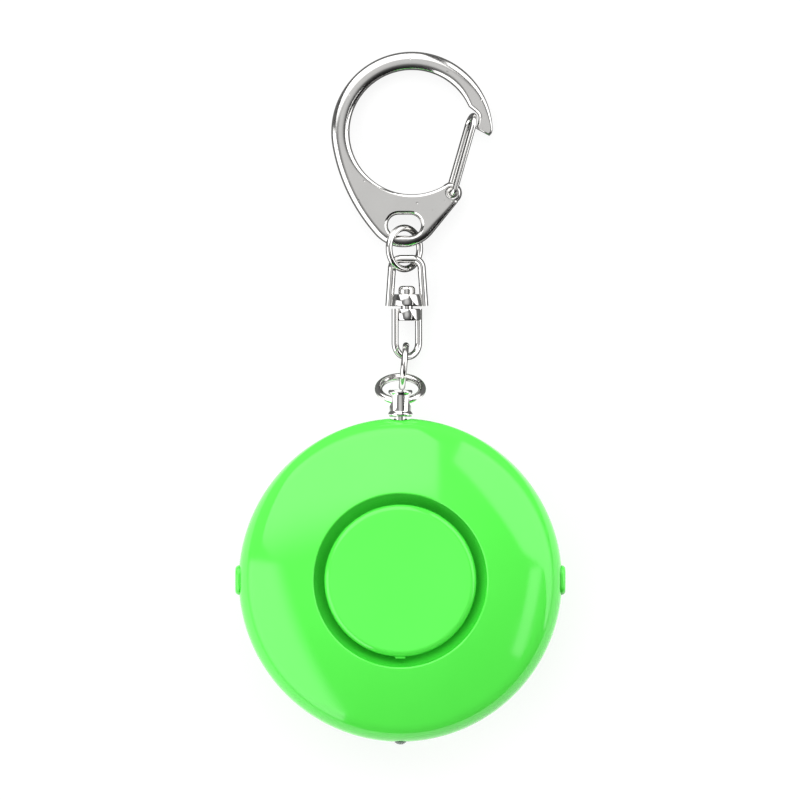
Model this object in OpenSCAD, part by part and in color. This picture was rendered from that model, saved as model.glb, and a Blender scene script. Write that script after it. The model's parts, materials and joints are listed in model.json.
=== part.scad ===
// Round personal safety alarm with a pull pin, a swivel chain and a snap hook.
// It lies on its back: z = 0 is the rest face, +Z leaves the front, the chain runs along +Y.

/* [Housing] */
// Outer diameter of the housing
body_d = 60; // [52:0.5:72]
// Height of the front dome above the seam
front_h = 10.5; // [9.5:0.1:13]
// Depth of the rear bowl below the seam, before its base is cut flat
rear_h = 12; // [11:0.1:15]
// Height of the seam above the flat base
seam_z = 11; // [10.6:0.1:14]
// Radius of the rounded rim on both halves
rim_r = 5.5; // [4.5:0.1:6.5]
// Wall of both halves
wall = 1.6; // [1.4:0.1:2]
// Height of the tongue that joins the halves
tongue_h = 0.8; // [0.5:0.1:1.2]
// Thickness of the tongue
tongue_t = 0.7; // [0.5:0.1:0.8]

/* [Siren] */
// Outer diameter of the groove round the siren cap
groove_d = 32; // [26:0.5:38.5]
// Width of the groove
groove_w = 1.9; // [1.2:0.1:2.6]
// Depth of the groove
groove_depth = 2.3; // [1.8:0.1:2.8]
// Height of the sound gap under the cap
sound_gap = 0.7; // [0.4:0.1:1]
// Rounding of the cap's top edge
cap_round = 1.2; // [0.6:0.1:1.3]
// Diameter of the brass sounder plate
piezo_d = 27; // [20:0.5:30]
// Diameter of the ceramic disc on it
ceramic_d = 19; // [14:0.5:22]
// Thickness of the plate and of the disc
piezo_t = 0.25; // [0.15:0.05:0.4]
// Thickness of the ledge that carries the cap and the sounder
ledge_t = 1.3; // [1:0.1:1.6]

/* [Buttons and lamp] */
// Length of a side button along the rim
button_len = 5.6; // [4.5:0.1:7]
// Height of a side button
button_h = 3.6; // [3:0.1:4.2]
// How far a button stands out of the rim
button_proud = 0.6; // [0.4:0.05:0.9]
// Travel of a button
button_travel = 0.4; // [0.2:0.05:0.45]
// Diameter of the lamp
led_d = 3; // [2.8:0.1:3.4]
// How far the lamp's tip stands out of the rim
led_proud = 0.5; // [0.3:0.1:1]

/* [Pull pin] */
// Diameter of the pin's shaft
pin_d = 2.5; // [2:0.1:2.8]
// Length of the shaft inside the housing
pin_len = 15.5; // [13:0.5:18]
// Diameter of the ferrule at its ends
ferrule_d = 4.65; // [4.3:0.05:5.2]
// Diameter of the ferrule's waist
ferrule_waist_d = 4; // [3.7:0.05:4.2]
// Length of the ferrule
ferrule_len = 4.95; // [4.6:0.05:5.5]
// Height of the cross hole above the ferrule's foot
ferrule_eye_h = 3.1; // [2.9:0.05:3.3]
// Diameter of the cross hole
ferrule_eye_d = 2.45; // [2.4:0.05:2.5]

/* [Chain] */
// Outer diameter of the ring in the ferrule
pin_ring_d = 9.5; // [9.3:0.1:11]
// Wire of the ring in the ferrule
pin_ring_wire = 1.4; // [1.2:0.05:1.45]
// How far that ring hangs below the horizontal, in degrees
pin_ring_droop = 56.6; // [45:0.1:62]
// Outer diameter of the link ring
link_ring_d = 8.9; // [8.5:0.1:10]
// Wire of the link ring
link_ring_wire = 1.2; // [1:0.05:1.3]
// Outer width of the swivel's eye
eye_w = 7; // [6.6:0.1:8]
// Wire of the eye
eye_wire = 1.3; // [1.1:0.05:1.4]
// Length of the eye from its foot to the far face of its base
eye_len = 9.5; // [8.8:0.1:11]
// Turn of the eye about the chain, in degrees
eye_turn = 40; // [30:1:50]
// Outer width of the swivel's bail
bail_w = 8; // [7.6:0.1:9]
// Wire of the bail
bail_wire = 1.5; // [1.3:0.05:1.6]
// Length of the bail from its base to its top
bail_len = 9.5; // [9:0.1:11]
// Thickness of the two swivel bases
swivel_base_t = 2.2; // [1.8:0.1:2.5]
// Diameter of the rivet through both bases
rivet_d = 2.2; // [1.8:0.1:2.6]
// Diameter of the rivet's head
rivet_head_d = 3.1; // [3:0.1:3.6]
// Outer diameter of the clip ring
clip_ring_d = 8.9; // [8.5:0.1:9.4]
// Wire of the clip ring
clip_ring_wire = 1.25; // [1.05:0.05:1.3]
// Roll of the clip ring about the chain, in degrees
clip_ring_roll = 42; // [38:1:46]

/* [Clip] */
// Outer diameter of the hook
hook_d = 30; // [28:0.5:36]
// Width of the hook's limb
limb_w = 3.4; // [3:0.1:3.8]
// Thickness of the clip
clip_t = 2.4; // [2:0.1:2.6]
// Rounding of the clip's edges
clip_round = 1.05; // [0.6:0.05:1.05]
// Distance from the hook's centre to the foot of its plate
plate_drop = 21.4; // [20.5:0.1:24]
// Radius of the plate's foot
plate_foot_r = 7; // [6:0.1:8]
// Width of the slot in the plate
slot_w = 6.2; // [6:0.1:7]
// Height of the slot
slot_h = 4; // [3.9:0.1:4.3]
// Width of the bar below the slot
bar_w = 2.1; // [1.8:0.05:2.2]
// Radius of the ear that carries the gate
ear_r = 2; // [1.7:0.05:2.3]
// Wire of the gate
gate_wire = 1.1; // [0.9:0.05:1.2]
// Lean of the gate's pivot across the plate, in degrees
gate_lean = 15; // [0:1:18]

/* [Inside] */
// Diameter of a button cell
cell_d = 11.6; // [10:0.1:12]
// Height of a button cell
cell_h = 5.4; // [4.2:0.1:5.6]
// Thickness of the contact plates on the cells
contact_t = 0.3; // [0.2:0.05:0.4]
// Diameter of the circuit board
board_d = 37; // [35:0.5:38]
// Thickness of the circuit board
board_t = 1; // [0.8:0.1:1.2]
// Radius of the circle of housing screws
screw_circle_r = 22; // [21.8:0.1:22.5]
// Diameter of a housing screw's shank
screw_d = 2; // [1.6:0.1:2.2]
// Diameter of its head
screw_head_d = 3.8; // [3.2:0.1:4]

/* [Clearances] */
// Gap round a sliding or turning fit
running_gap = 0.05; // [0.03:0.01:0.1]
// Gap round a pressed, riveted or screwed shank
press_gap = 0.02; // [0.01:0.01:0.04]
// Gap round a fixed piece in its seat
seat_gap = 0.1; // [0.05:0.01:0.2]
// Gap round a button in its opening
button_gap = 0.2; // [0.15:0.01:0.3]
// Slack between one link of the chain and the next
link_slack = 0.55; // [0.45:0.05:0.7]

/* [Hidden] */
$fn = 96;
body_r = body_d / 2;
eps = 0.01;

// Dome radius of a half whose rim arc is rim_r and whose height above the seam is h
function dome_r(h) = ((body_r - rim_r) ^ 2 + h ^ 2 - rim_r ^ 2) / (2 * (h - rim_r));
// Angle of the point where the rim arc and the dome meet
function meet_a(h) = acos((body_r - rim_r) / (dome_r(h) - rim_r));
// Height above the seam of a half's surface, moved in by o, at radius r on its dome
function dome_z(h, o, r) = h - dome_r(h) + sqrt((dome_r(h) - o) ^ 2 - r ^ 2);
// Points of an arc in n steps
function arc(c, r, a0, a1, n) = [for (i = [0:n]) let (a = a0 + (a1 - a0) * i / n) c + r * [cos(a), sin(a)]];
// Half profile from the seam to radius r_end, moved in by o
function half(h, o, r_end) = concat(
    arc([body_r - rim_r, 0], rim_r - o, 0, meet_a(h), 12),
    [for (i = [1:6]) let (r0 = (dome_r(h) - o) * cos(meet_a(h)), r = r0 + (r_end - r0) * i / 6)
        [r, dome_z(h, o, r)]]);
function back(p) = [for (i = [len(p) - 1:-1:0]) p[i]];
function up(p) = [for (q = p) [q[0], seam_z + q[1]]];
function down(p) = [for (q = p) [q[0], seam_z - q[1]]];

// Siren levels
groove_r = groove_d / 2;
groove_edge = 0.35;
groove_top_z = seam_z + dome_z(front_h, 0, groove_r);
ledge_z = groove_top_z - groove_depth;
ledge_under_z = ledge_z - ledge_t;
web_t = 1.2;
seat_t = 1.2;
seat_drop = 1.2;
piezo_r = piezo_d / 2;
seat_r = piezo_r + seat_gap;
web_r = max(groove_r + web_t, seat_r + seat_t + eps);
port_r = piezo_r - 2;
cap_r = groove_r - groove_w;
cap_under_z = ledge_z + sound_gap;
cap_foot_r = 0.9;
cap_foot_circle = (port_r + cap_r) / 2;
key_w = 1.9;
key_proud = 0.35;

// Cell and board levels
cell_r = cell_d / 2;
rib_t = 0.9;
cell_web = 0.7;
cell_circle = (cell_r + seat_gap + cell_web / 2) / sin(60);
cell_angles = [90, 210, 330];
tray_r = cell_circle + cell_r + seat_gap + rib_t;
tray_z = seam_z - dome_z(rear_h, wall, tray_r);
cell_z = tray_z + contact_t;
board_z = cell_z + cell_h + contact_t;
board_top_z = board_z + board_t;
board_r = board_d / 2;
rib_h = cell_h * 0.75;
link_w = 5;
riser_w = 3;
riser_r = cell_circle + cell_r + seat_gap;
rib_from = asin((riser_w / 2 + 3 * seat_gap) / (cell_r + seat_gap));
rib_to = 95;
post_r = 1.6;
post_inset = 0.6;
post_circle = board_r - post_r - post_inset;
board_screw_d = 1.4;
board_screw_head_d = 2.6;
board_screw_len = 4;

// Screws and bosses
boss_r = screw_d / 2 + 1.5;
rear_boss_r = screw_head_d / 2 + 1;
boss_skin = 0.4;
boss_top_z = seam_z + dome_z(front_h, 0, screw_circle_r + boss_r) - boss_skin;
head_h = 1.4;
head_depth = 2.6;
head_seat_z = seam_z - dome_z(rear_h, 0, screw_circle_r) + head_depth;
boss_cap = 1.6;
pilot_more = 0.6;
screw_tip_z = boss_top_z - boss_cap;
screw_angles = [45, 135, 225, 315];

// Buttons, switches and lamp
switch_depth = 3.5;
switch_len = 6;
switch_floor = 0.8;
switch_face_x = board_r - 0.3;
switch_h = 2 * (seam_z - board_top_z);
plunger_d = 2;
plunger_out = 1.2;
flange_t = 1;
flange_rim = 0.8;
flange_back = 0.7;
flange_x = body_r - rim_r + sqrt((rim_r - wall) ^ 2 - (button_h / 2 + flange_rim) ^ 2) - flange_back;
led_r = led_d / 2;
led_flange_r = led_r + 0.4;
led_tip_y = body_r + led_proud;
led_base_y = body_r - rim_r + 0.2;
lead_pitch = 2.54;
lead_d = 0.5;

// Pull pin
pin_r = pin_d / 2;
ferrule_gap = 0.3;
ferrule_foot_y = body_r + ferrule_gap;
eye_y = ferrule_foot_y + ferrule_eye_h;
socket_h = 1.3;
guide_r = pin_r + 0.75;
guide_flange_r = guide_r + 0.8;
guide_y = body_r - rim_r - 0.5;
blade_t = 0.25;
blade_len = 7;

// Chain, each link placed from the wire of the one before it
pin_ring_r = (pin_ring_d - pin_ring_wire) / 2;
// the ring's curve needs this much of the cross hole
pin_ring_bow = pin_ring_r - sqrt(pin_ring_r ^ 2 - (ferrule_d / 2) ^ 2);
pin_ring_reach = pin_ring_r - pin_ring_bow / 2;
droop_dir = [0, cos(pin_ring_droop), -sin(pin_ring_droop)];
ferrule_eye = [0, eye_y, seam_z];
pin_ring_c = ferrule_eye + pin_ring_reach * droop_dir;
pin_ring_far = pin_ring_c + pin_ring_r * droop_dir;

link_ring_r = (link_ring_d - link_ring_wire) / 2;
link_yaw = 5.6;
link_c = [0.67, pin_ring_far[1] + link_ring_r - (link_ring_wire + pin_ring_wire) / 2 - link_slack,
          link_ring_d / 2 + 0.05];
link_far = link_c + link_ring_r * [sin(link_yaw), cos(link_yaw), 0];

eye_r = (eye_w - eye_wire) / 2;
swivel_x = 1.2;
eye_base_r = eye_r - 0.25;
bail_half = (bail_w - bail_wire) / 2;
bail_base_r = bail_half - 0.15;
swivel_z = bail_base_r + 0.05;
eye_foot_y = link_far[1] - (link_ring_wire + eye_wire) / 2 - 1.4 * link_slack;
eye_top_y = eye_foot_y - eye_wire / 2 + eye_len;
swivel_gap = 0.5;
bail_y = eye_top_y + swivel_gap;
bail_top_y = bail_y + bail_len - bail_wire / 2;
bail_corner = 1.7;
bail_lean = 4;
rivet_head_h = 1.5;

clip_ring_r = (clip_ring_d - clip_ring_wire) / 2;
clip_ring_c = [0.75, bail_top_y + clip_ring_r - (clip_ring_wire + bail_wire) / 2 - 0.9 * link_slack,
               clip_ring_r * sin(clip_ring_roll) + clip_ring_wire / 2 + 0.05];
clip_ring_far = clip_ring_c + [0, clip_ring_r, 0];
split_a = 3;

// Clip outline about the hook's centre
hook_r = hook_d / 2;
mouth_r = hook_r - limb_w;
flank_r = 2.24 * hook_r;
flank_a = 190;
flank_c = -(flank_r - hook_r) * [cos(flank_a), sin(flank_a)];
// the foot's arc is tangent to the flank and reaches plate_drop
foot_a = asin((plate_foot_r - plate_drop - flank_c[1]) / (flank_r - plate_foot_r));
foot_c = flank_c + (flank_r - plate_foot_r) * [-cos(foot_a), sin(foot_a)];
ear_a = -57.2;
ear_in = 0.15;
ear_c = (mouth_r + ear_r - ear_in) * [cos(ear_a), sin(ear_a)];
ear_way = ear_c - foot_c;
side_a = atan2(ear_way[1], ear_way[0]) - acos((plate_foot_r - ear_r) / norm(ear_way));
side_n = [cos(side_a), sin(side_a)];
nose_a = -2.5;
nose_slant = 6.2;
slot_c = [foot_c[0] + 0.2, -plate_drop + bar_w + slot_h / 2];
slot_bevel = 0.55;
// pocket in the nose for the gate's tip, as [angle, depth]
notch = [[3.7, 0.25], [7, 0.7], [13, 1.15], [16, 1.05], [24, 0]];
notch_r = mouth_r + notch[2][1];
notch_top_a = notch[4][0];

// Place of the clip: the ring's far wire lies in the slot, next to the bar
clip_pitch = 2.8;
clip_bar_in = [slot_c[0], slot_c[1] - slot_h / 2 + clip_ring_wire / 2 + 1.6 * link_slack, 0];
clip_c = clip_ring_far - pitched(clip_bar_in);
function pitched(p) = [p[0], p[1] * cos(clip_pitch) + p[2] * sin(clip_pitch),
                       -p[1] * sin(clip_pitch) + p[2] * cos(clip_pitch)];

// Gate, from the ear to the notch in the nose
gate_r = gate_wire / 2;
gate_bend = 0.8;
gate_leg = clip_t / 2 + gate_bend + 0.06;
gate_tip_a = 15;
gate_tip = (notch_r - gate_r - 0.4) * [cos(gate_tip_a), sin(gate_tip_a)];
gate_way = gate_tip - ear_c;
gate_a = atan2(gate_way[1], gate_way[0]);
gate_len = norm(gate_way);

green = "limegreen";
steel = "gainsboro";
spring = "darkkhaki";

// Cylinder along +Y, from the given point
module rod_y(p, r, len) {
    translate(p) rotate([-90, 0, 0]) cylinder(r = r, h = len);
}

// Cylinder along +X, from the given point
module rod_x(p, r, len) {
    translate(p) rotate([0, 90, 0]) cylinder(r = r, h = len);
}

// Outline of a bar with round ends, w by h, grown by g
function round_bar(w, h, g) = concat(
    arc([(w - h) / 2, 0], h / 2 + g, -90, 90, 15),
    arc([(h - w) / 2, 0], h / 2 + g, 90, 270, 15));

// Bar with round ends in the YZ plane, drawn out along +X from x
module round_bar_x(x, w, h, len) {
    translate([x, 0, seam_z]) rotate([90, 0, 90]) linear_extrude(len) polygon(round_bar(w, h, 0));
}

module at_angles(angles, r) {
    for (a = angles) rotate(a) translate([r, 0, 0]) children();
}

// Openings in the rim that both halves share
module rim_openings() {
    for (s = [0, 180]) rotate(s)
        round_bar_x(body_r - rim_r, button_len + 2 * button_gap, button_h + 2 * button_gap, rim_r + 1);
    translate([0, 0, seam_z]) {
        rotate([90, 45, 0]) translate([0, 0, body_r - rim_r])
            cylinder(r = led_r + running_gap, h = rim_r + 1);
        rotate([-90, 45, 0]) translate([0, 0, body_r - rim_r])
            cylinder(r = guide_r + running_gap, h = rim_r + 1);
    }
}

module front_shell() {
    outer = up(half(front_h, 0, groove_r + groove_edge));
    inner = up(half(front_h, wall, web_r));
    rabbet_r = body_r - wall + tongue_t + seat_gap / 2;
    rabbet_z = seam_z + tongue_h + seat_gap;
    profile = concat(
        outer,
        arc([groove_r + groove_edge, groove_top_z - 1.2 * groove_edge], groove_edge, 100, 180, 4),
        [[groove_r, ledge_z], [port_r, ledge_z], [port_r, ledge_under_z],
         [seat_r, ledge_under_z], [seat_r, ledge_under_z - seat_drop],
         [seat_r + seat_t, ledge_under_z - seat_drop],
         [seat_r + seat_t, ledge_under_z], [web_r, ledge_under_z]],
        [for (q = back(inner)) if (q[1] > rabbet_z + eps) q],
        [[body_r - wall - 0.3, rabbet_z], [rabbet_r, rabbet_z], [rabbet_r, seam_z]]);
    color(green) difference() {
        union() {
            rotate_extrude() polygon(profile);
            at_angles(screw_angles, screw_circle_r)
                translate([0, 0, seam_z]) cylinder(r = boss_r, h = boss_top_z - seam_z);
        }
        at_angles(screw_angles, screw_circle_r)
            translate([0, 0, seam_z - eps])
            cylinder(d = screw_d + 2 * press_gap, h = screw_tip_z + pilot_more - seam_z);
        rim_openings();
    }
}

module siren_cap() {
    top_z = groove_top_z;
    color(green) union() {
        rotate_extrude() polygon(concat(
            [[0, cap_under_z], [cap_r, cap_under_z]],
            arc([cap_r - cap_round, top_z - cap_round], cap_round, 0, 90, 8),
            [[0, top_z]]));
        at_angles([45, 135, 225, 315], cap_foot_circle)
            translate([0, 0, ledge_z]) cylinder(r = cap_foot_r, h = sound_gap + eps);
        // key at 6 o'clock
        translate([-key_w / 2, -cap_r - key_proud, cap_under_z])
            cube([key_w, key_proud + 0.6, top_z - cap_under_z - cap_round * 0.7]);
    }
}

module rear_shell() {
    base_r = sqrt(dome_r(rear_h) ^ 2 - (seam_z - rear_h + dome_r(rear_h)) ^ 2);
    outer = down(half(rear_h, 0, base_r));
    inner = down(half(rear_h, wall, tray_r));
    tongue = [[body_r - wall, seam_z + tongue_h], [body_r - wall + tongue_t, seam_z + tongue_h],
              [body_r - wall + tongue_t, seam_z]];
    color(green) difference() {
        union() {
            rotate_extrude() polygon(concat(outer, [[0, 0], [0, tray_z]], back(inner), tongue));
            // two curved ribs round each cell, with room between them for a riser
            at_angles(cell_angles, cell_circle) for (a = [rib_from, -rib_to])
                translate([0, 0, tray_z - eps]) rotate(a) rotate_extrude(angle = rib_to - rib_from)
                translate([cell_r + seat_gap, 0]) square([rib_t, rib_h + eps]);
            // posts for the board
            intersection() {
                union() {
                    at_angles(screw_angles, post_circle) cylinder(r = post_r, h = board_z);
                    at_angles(screw_angles, screw_circle_r) cylinder(r = rear_boss_r, h = seam_z);
                }
                translate([0, 0, seam_z - rear_h + dome_r(rear_h)]) sphere(r = dome_r(rear_h) - wall / 2);
            }
        }
        at_angles(screw_angles, post_circle)
            translate([0, 0, board_z - board_screw_len])
            cylinder(d = board_screw_d + 2 * press_gap, h = board_screw_len);
        at_angles(screw_angles, screw_circle_r) {
            translate([0, 0, -1]) cylinder(d = screw_head_d + 2 * seat_gap, h = head_seat_z + 1);
            cylinder(d = screw_d + 2 * seat_gap, h = seam_z + 1);
        }
        rim_openings();
    }
}

module housing_screws() {
    color(steel) at_angles(screw_angles, screw_circle_r) difference() {
        union() {
            translate([0, 0, head_seat_z - head_h]) cylinder(d = screw_head_d, h = head_h);
            translate([0, 0, head_seat_z - eps]) cylinder(d = screw_d, h = screw_tip_z - head_seat_z);
        }
        for (a = [0, 90]) translate([0, 0, head_seat_z - head_h]) rotate(a)
            cube([screw_head_d * 0.6, 0.5, 1.4], center = true);
    }
}

module circuit_board() {
    color("darkgreen") difference() {
        translate([0, 0, board_z]) cylinder(r = board_r, h = board_t);
        at_angles(screw_angles, post_circle)
            translate([0, 0, board_z - 1]) cylinder(d = board_screw_d + 2 * running_gap, h = board_t + 2);
    }
}

module board_screws() {
    color(steel) at_angles(screw_angles, post_circle) {
        translate([0, 0, board_top_z]) cylinder(d = board_screw_head_d, h = 0.9);
        translate([0, 0, board_z - board_screw_len + 0.3])
            cylinder(d = board_screw_d, h = board_screw_len - 0.3 + board_t + eps);
    }
}

module alarm_chip() {
    chip_w = 3.9;
    chip_len = 4.9;
    chip_h = 1.5;
    leg_w = 0.42;
    leg_pitch = 1.27;
    chip_xy = [7.5, -6.5];
    color("dimgray") translate([chip_xy[0], chip_xy[1], board_top_z]) union() {
        translate([-chip_w / 2, -chip_len / 2, 0.15]) cube([chip_w, chip_len, chip_h]);
        for (s = [-1, 1], i = [-1.5:1.5]) {
            translate([s * (chip_w / 2 + 0.5) - 0.55, i * leg_pitch - leg_w / 2, 0]) cube([1.1, leg_w, 0.2]);
            translate([s * (chip_w / 2 + 0.12) - 0.15, i * leg_pitch - leg_w / 2, 0]) cube([0.3, leg_w, 0.8]);
        }
    }
}

module driver_transistor() {
    can_r = 2.3;
    can_h = 4.4;
    color("dimgray") translate([8, 5, board_top_z]) difference() {
        cylinder(r = can_r, h = can_h);
        translate([1.2, -can_r - 1, -1]) cube([can_r, 2 * can_r + 2, can_h + 2]);
    }
}

module filter_capacitor() {
    can_r = 2;
    can_h = 4.8;
    color("slategray") translate([-8, 6.5, board_top_z]) rotate_extrude() polygon([
        [0, 0], [can_r, 0], [can_r, 0.7], [can_r - 0.2, 0.9], [can_r, 1.1],
        [can_r, can_h - 0.3], [can_r - 0.3, can_h], [can_r - 0.6, can_h - 0.15], [0, can_h - 0.15]]);
}

coil_xy = [-7.5, -5.5];
coil_h = 5;
coil_flange_t = 0.8;
coil_r = 3.2;
coil_post_r = 1.4;

module coil_core() {
    color("darkslategray") translate([coil_xy[0], coil_xy[1], board_top_z]) rotate_extrude() polygon([
        [0, 0], [coil_r, 0], [coil_r, coil_flange_t], [coil_post_r, coil_flange_t],
        [coil_post_r, coil_h - coil_flange_t], [coil_r, coil_h - coil_flange_t],
        [coil_r, coil_h], [0, coil_h]]);
}

module coil_winding() {
    z0 = coil_flange_t + running_gap;
    z1 = coil_h - coil_flange_t - running_gap;
    r0 = coil_post_r + running_gap;
    r1 = coil_r - 0.3;
    color("peru") translate([coil_xy[0], coil_xy[1], board_top_z]) rotate_extrude()
        polygon([[r0, z0], [r1 - 0.2, z0], [r1, z0 + 0.4], [r1, z1 - 0.4], [r1 - 0.2, z1], [r0, z1]]);
}

piezo_z = ledge_under_z - piezo_t;

module piezo_plate() {
    color("gold") translate([0, 0, piezo_z]) cylinder(d = piezo_d, h = piezo_t);
}

module piezo_ceramic() {
    color("whitesmoke") translate([0, 0, piezo_z - piezo_t]) cylinder(d = ceramic_d, h = piezo_t);
}

// Bowed wire from the board up to top_z, with a bead of solder at each end
module lead(x, y, top_z, out) {
    wire_r = 0.4;
    bead_r = 0.85;
    bead_h = 0.8;
    bow = 1.4;
    half_h = (top_z - board_top_z) / 2 - bead_h / 2;
    bow_r = (half_h ^ 2 + bow ^ 2) / (2 * bow);
    bow_a = asin(half_h / bow_r);
    translate([x, y, 0]) rotate(out) union() {
        for (z = [board_top_z, top_z - bead_h]) translate([0, 0, z]) cylinder(r = bead_r, h = bead_h);
        translate([bow - bow_r, 0, (top_z + board_top_z) / 2]) rotate([90, 0, 0]) rotate(-bow_a)
            rotate_extrude(angle = 2 * bow_a) translate([bow_r, 0]) circle(r = wire_r);
    }
}

module piezo_lead_plus() {
    color("red") lead(2.5, -6.5, piezo_z - piezo_t, 270);
}

module piezo_lead_minus() {
    color("black") lead(-2.5, -(ceramic_d / 2 + port_r) / 2 - 0.2, piezo_z, 180);
}

// One cell: can, groove and smaller end; up = 1 puts the smaller end at the top
module cell(i, up) {
    end_r = cell_r - 0.9;
    end_h = 0.5;
    p = [[0, 0], [cell_r - 0.3, 0], [cell_r, 0.3], [cell_r, cell_h - end_h - 0.3],
         [cell_r - 0.3, cell_h - end_h], [end_r, cell_h - end_h], [end_r, cell_h], [0, cell_h]];
    q = up ? p : [for (s = back(p)) [s[0], cell_h - s[1]]];
    rotate(cell_angles[i]) translate([cell_circle, 0, cell_z]) color(steel) rotate_extrude() polygon(q);
}

module battery_cell_1() {
    cell(0, true);
}

module battery_cell_2() {
    cell(1, false);
}

module battery_cell_3() {
    cell(2, true);
}

// Flat strip with round ends from cell i to cell j
module cell_link(i, j, z) {
    a = cell_circle * [cos(cell_angles[i]), sin(cell_angles[i])];
    b = cell_circle * [cos(cell_angles[j]), sin(cell_angles[j])];
    way = b - a;
    translate([a[0], a[1], z]) rotate(atan2(way[1], way[0])) {
        translate([0, -link_w / 2, 0]) cube([norm(way), link_w, contact_t]);
        cylinder(d = link_w, h = contact_t);
        translate([norm(way), 0, 0]) cylinder(d = link_w, h = contact_t);
    }
}

module cell_link_rear() {
    color(spring) cell_link(0, 1, tray_z);
}

module cell_link_front() {
    color(spring) cell_link(1, 2, cell_z + cell_h);
}

module cell_contact_plus() {
    color(spring) rotate(cell_angles[2]) {
        translate([cell_circle, -riser_w / 2, tray_z])
            cube([riser_r - cell_circle + contact_t, riser_w, contact_t]);
        translate([cell_circle, 0, tray_z]) cylinder(d = link_w, h = contact_t);
        translate([riser_r, -riser_w / 2, tray_z]) cube([contact_t, riser_w, board_z - tray_z]);
    }
}

module cell_contact_minus() {
    color(spring) rotate(cell_angles[0])
        translate([cell_circle, 0, cell_z + cell_h]) cylinder(d = link_w, h = contact_t);
}

// One side's switch, drawn on the right
module switch_body() {
    bore_r = plunger_d / 2 + running_gap;
    color("dimgray") difference() {
        translate([switch_face_x - switch_depth, -switch_len / 2, board_top_z])
            cube([switch_depth, switch_len, switch_h]);
        rod_x([switch_face_x - switch_depth + switch_floor, 0, seam_z], bore_r, switch_depth);
    }
}

module switch_plunger() {
    root = button_travel + 0.3;
    x0 = switch_face_x - switch_depth + switch_floor + root;
    color("ivory") rod_x([x0, 0, seam_z], plunger_d / 2, switch_face_x + plunger_out - x0);
}

// One side's button, drawn on the right: face that follows the rim, flange, stem on the plunger
module button() {
    stem_x = switch_face_x + plunger_out;
    color(green) union() {
        intersection() {
            round_bar_x(flange_x - 0.3, button_len, button_h, rim_r + 3);
            rotate_extrude() polygon(concat(
                arc([body_r - rim_r, seam_z], rim_r + button_proud, -80, 80, 24),
                [[body_r - rim_r - 6, seam_z + rim_r], [body_r - rim_r - 6, seam_z - rim_r]]));
        }
        round_bar_x(flange_x - flange_t, button_len + 2 * flange_rim, button_h + 2 * flange_rim, flange_t);
        rod_x([stem_x, 0, seam_z], plunger_d / 2 + 0.2, flange_x - flange_t - stem_x + eps);
    }
}

module right_switch() {
    switch_body();
}

module left_switch() {
    rotate(180) switch_body();
}

module right_plunger() {
    switch_plunger();
}

module left_plunger() {
    rotate(180) switch_plunger();
}

module right_button() {
    button();
}

module left_button() {
    rotate(180) button();
}

module torch_led() {
    len = led_tip_y - led_r - led_base_y;
    flange = 0.9;
    profile = concat([[0, 0], [led_flange_r, 0], [led_flange_r, flange], [led_r, flange]],
                     arc([0, len], led_r, 0, 90, 10));
    color("lightcyan") translate([0, -led_base_y, seam_z]) rotate([90, 0, 0])
        rotate_extrude() polygon(profile);
}

module led_leads() {
    foot_y = -board_r + 3;
    color(steel) for (s = [-1, 1]) translate([s * lead_pitch / 2, 0, 0]) union() {
        rod_y([0, -led_base_y, seam_z], lead_d / 2, led_base_y + foot_y);
        translate([0, foot_y, seam_z]) sphere(d = lead_d);
        translate([0, foot_y, board_top_z]) cylinder(d = lead_d, h = seam_z - board_top_z);
        translate([0, foot_y, board_top_z]) cylinder(r1 = 0.8, r2 = 0.35, h = 0.6);
    }
}

module pin_guide() {
    len = body_r - 0.5 - guide_y;
    color("black") translate([0, guide_y, seam_z]) rotate([-90, 0, 0]) rotate_extrude() polygon([
        [pin_r + running_gap, 0], [guide_flange_r, 0], [guide_flange_r, 1.2], [guide_r, 1.2],
        [guide_r, len], [pin_r + running_gap, len]]);
}

// Spring blade beside the pin, on a foot on the board; drawn on the right
module pin_contact() {
    x = pin_r + 2 * running_gap;
    y = body_r - pin_len - 1;
    foot_w = 2.4;
    blade_h = seam_z - board_top_z + pin_r * 0.8;
    color(spring) union() {
        translate([x, y, board_top_z]) cube([foot_w, blade_len, blade_t]);
        translate([x, y, board_top_z]) cube([blade_t, blade_len, blade_h]);
    }
}

module pin_contact_right() {
    pin_contact();
}

module pin_contact_left() {
    mirror([1, 0, 0]) pin_contact();
}

module pull_pin() {
    len = pin_len + ferrule_gap + socket_h - press_gap;
    neck_y = 3;
    neck_r = pin_r - 0.3;
    color(steel) translate([0, body_r - pin_len, seam_z]) rotate([-90, 0, 0]) rotate_extrude() polygon([
        [0, 0], [pin_r - 0.5, 0], [pin_r, 0.8], [pin_r, neck_y], [neck_r, neck_y + 0.3],
        [neck_r, neck_y + 1.3], [pin_r, neck_y + 1.6], [pin_r, len], [0, len]]);
}

module pin_ferrule() {
    end_r = ferrule_d / 2;
    waist_r = ferrule_waist_d / 2;
    collar = 0.8;
    ease = 0.25;
    color(steel) difference() {
        translate([0, ferrule_foot_y, seam_z]) rotate([-90, 0, 0]) rotate_extrude() polygon([
            [0, 0], [end_r - ease, 0], [end_r, ease], [end_r, collar], [waist_r, collar + 0.6],
            [waist_r, ferrule_eye_h + 0.7], [end_r, ferrule_len - 0.6], [end_r, ferrule_len - ease],
            [end_r - ease, ferrule_len], [0, ferrule_len]]);
        rod_x([-end_r - 1, eye_y, seam_z], ferrule_eye_d / 2, ferrule_d + 2);
        rod_y([0, ferrule_foot_y - 1, seam_z], pin_r + press_gap, socket_h + 1);
    }
}

// Jump ring in the XY plane with its split at angle a
module jump_ring(r, wire, a) {
    rotate(a + split_a / 2) rotate_extrude(angle = 360 - split_a) translate([r, 0]) circle(d = wire);
}

module pin_ring() {
    color(steel) translate(pin_ring_c) rotate([-pin_ring_droop, 0, 0])
        jump_ring(pin_ring_r, pin_ring_wire, 20);
}

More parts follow.
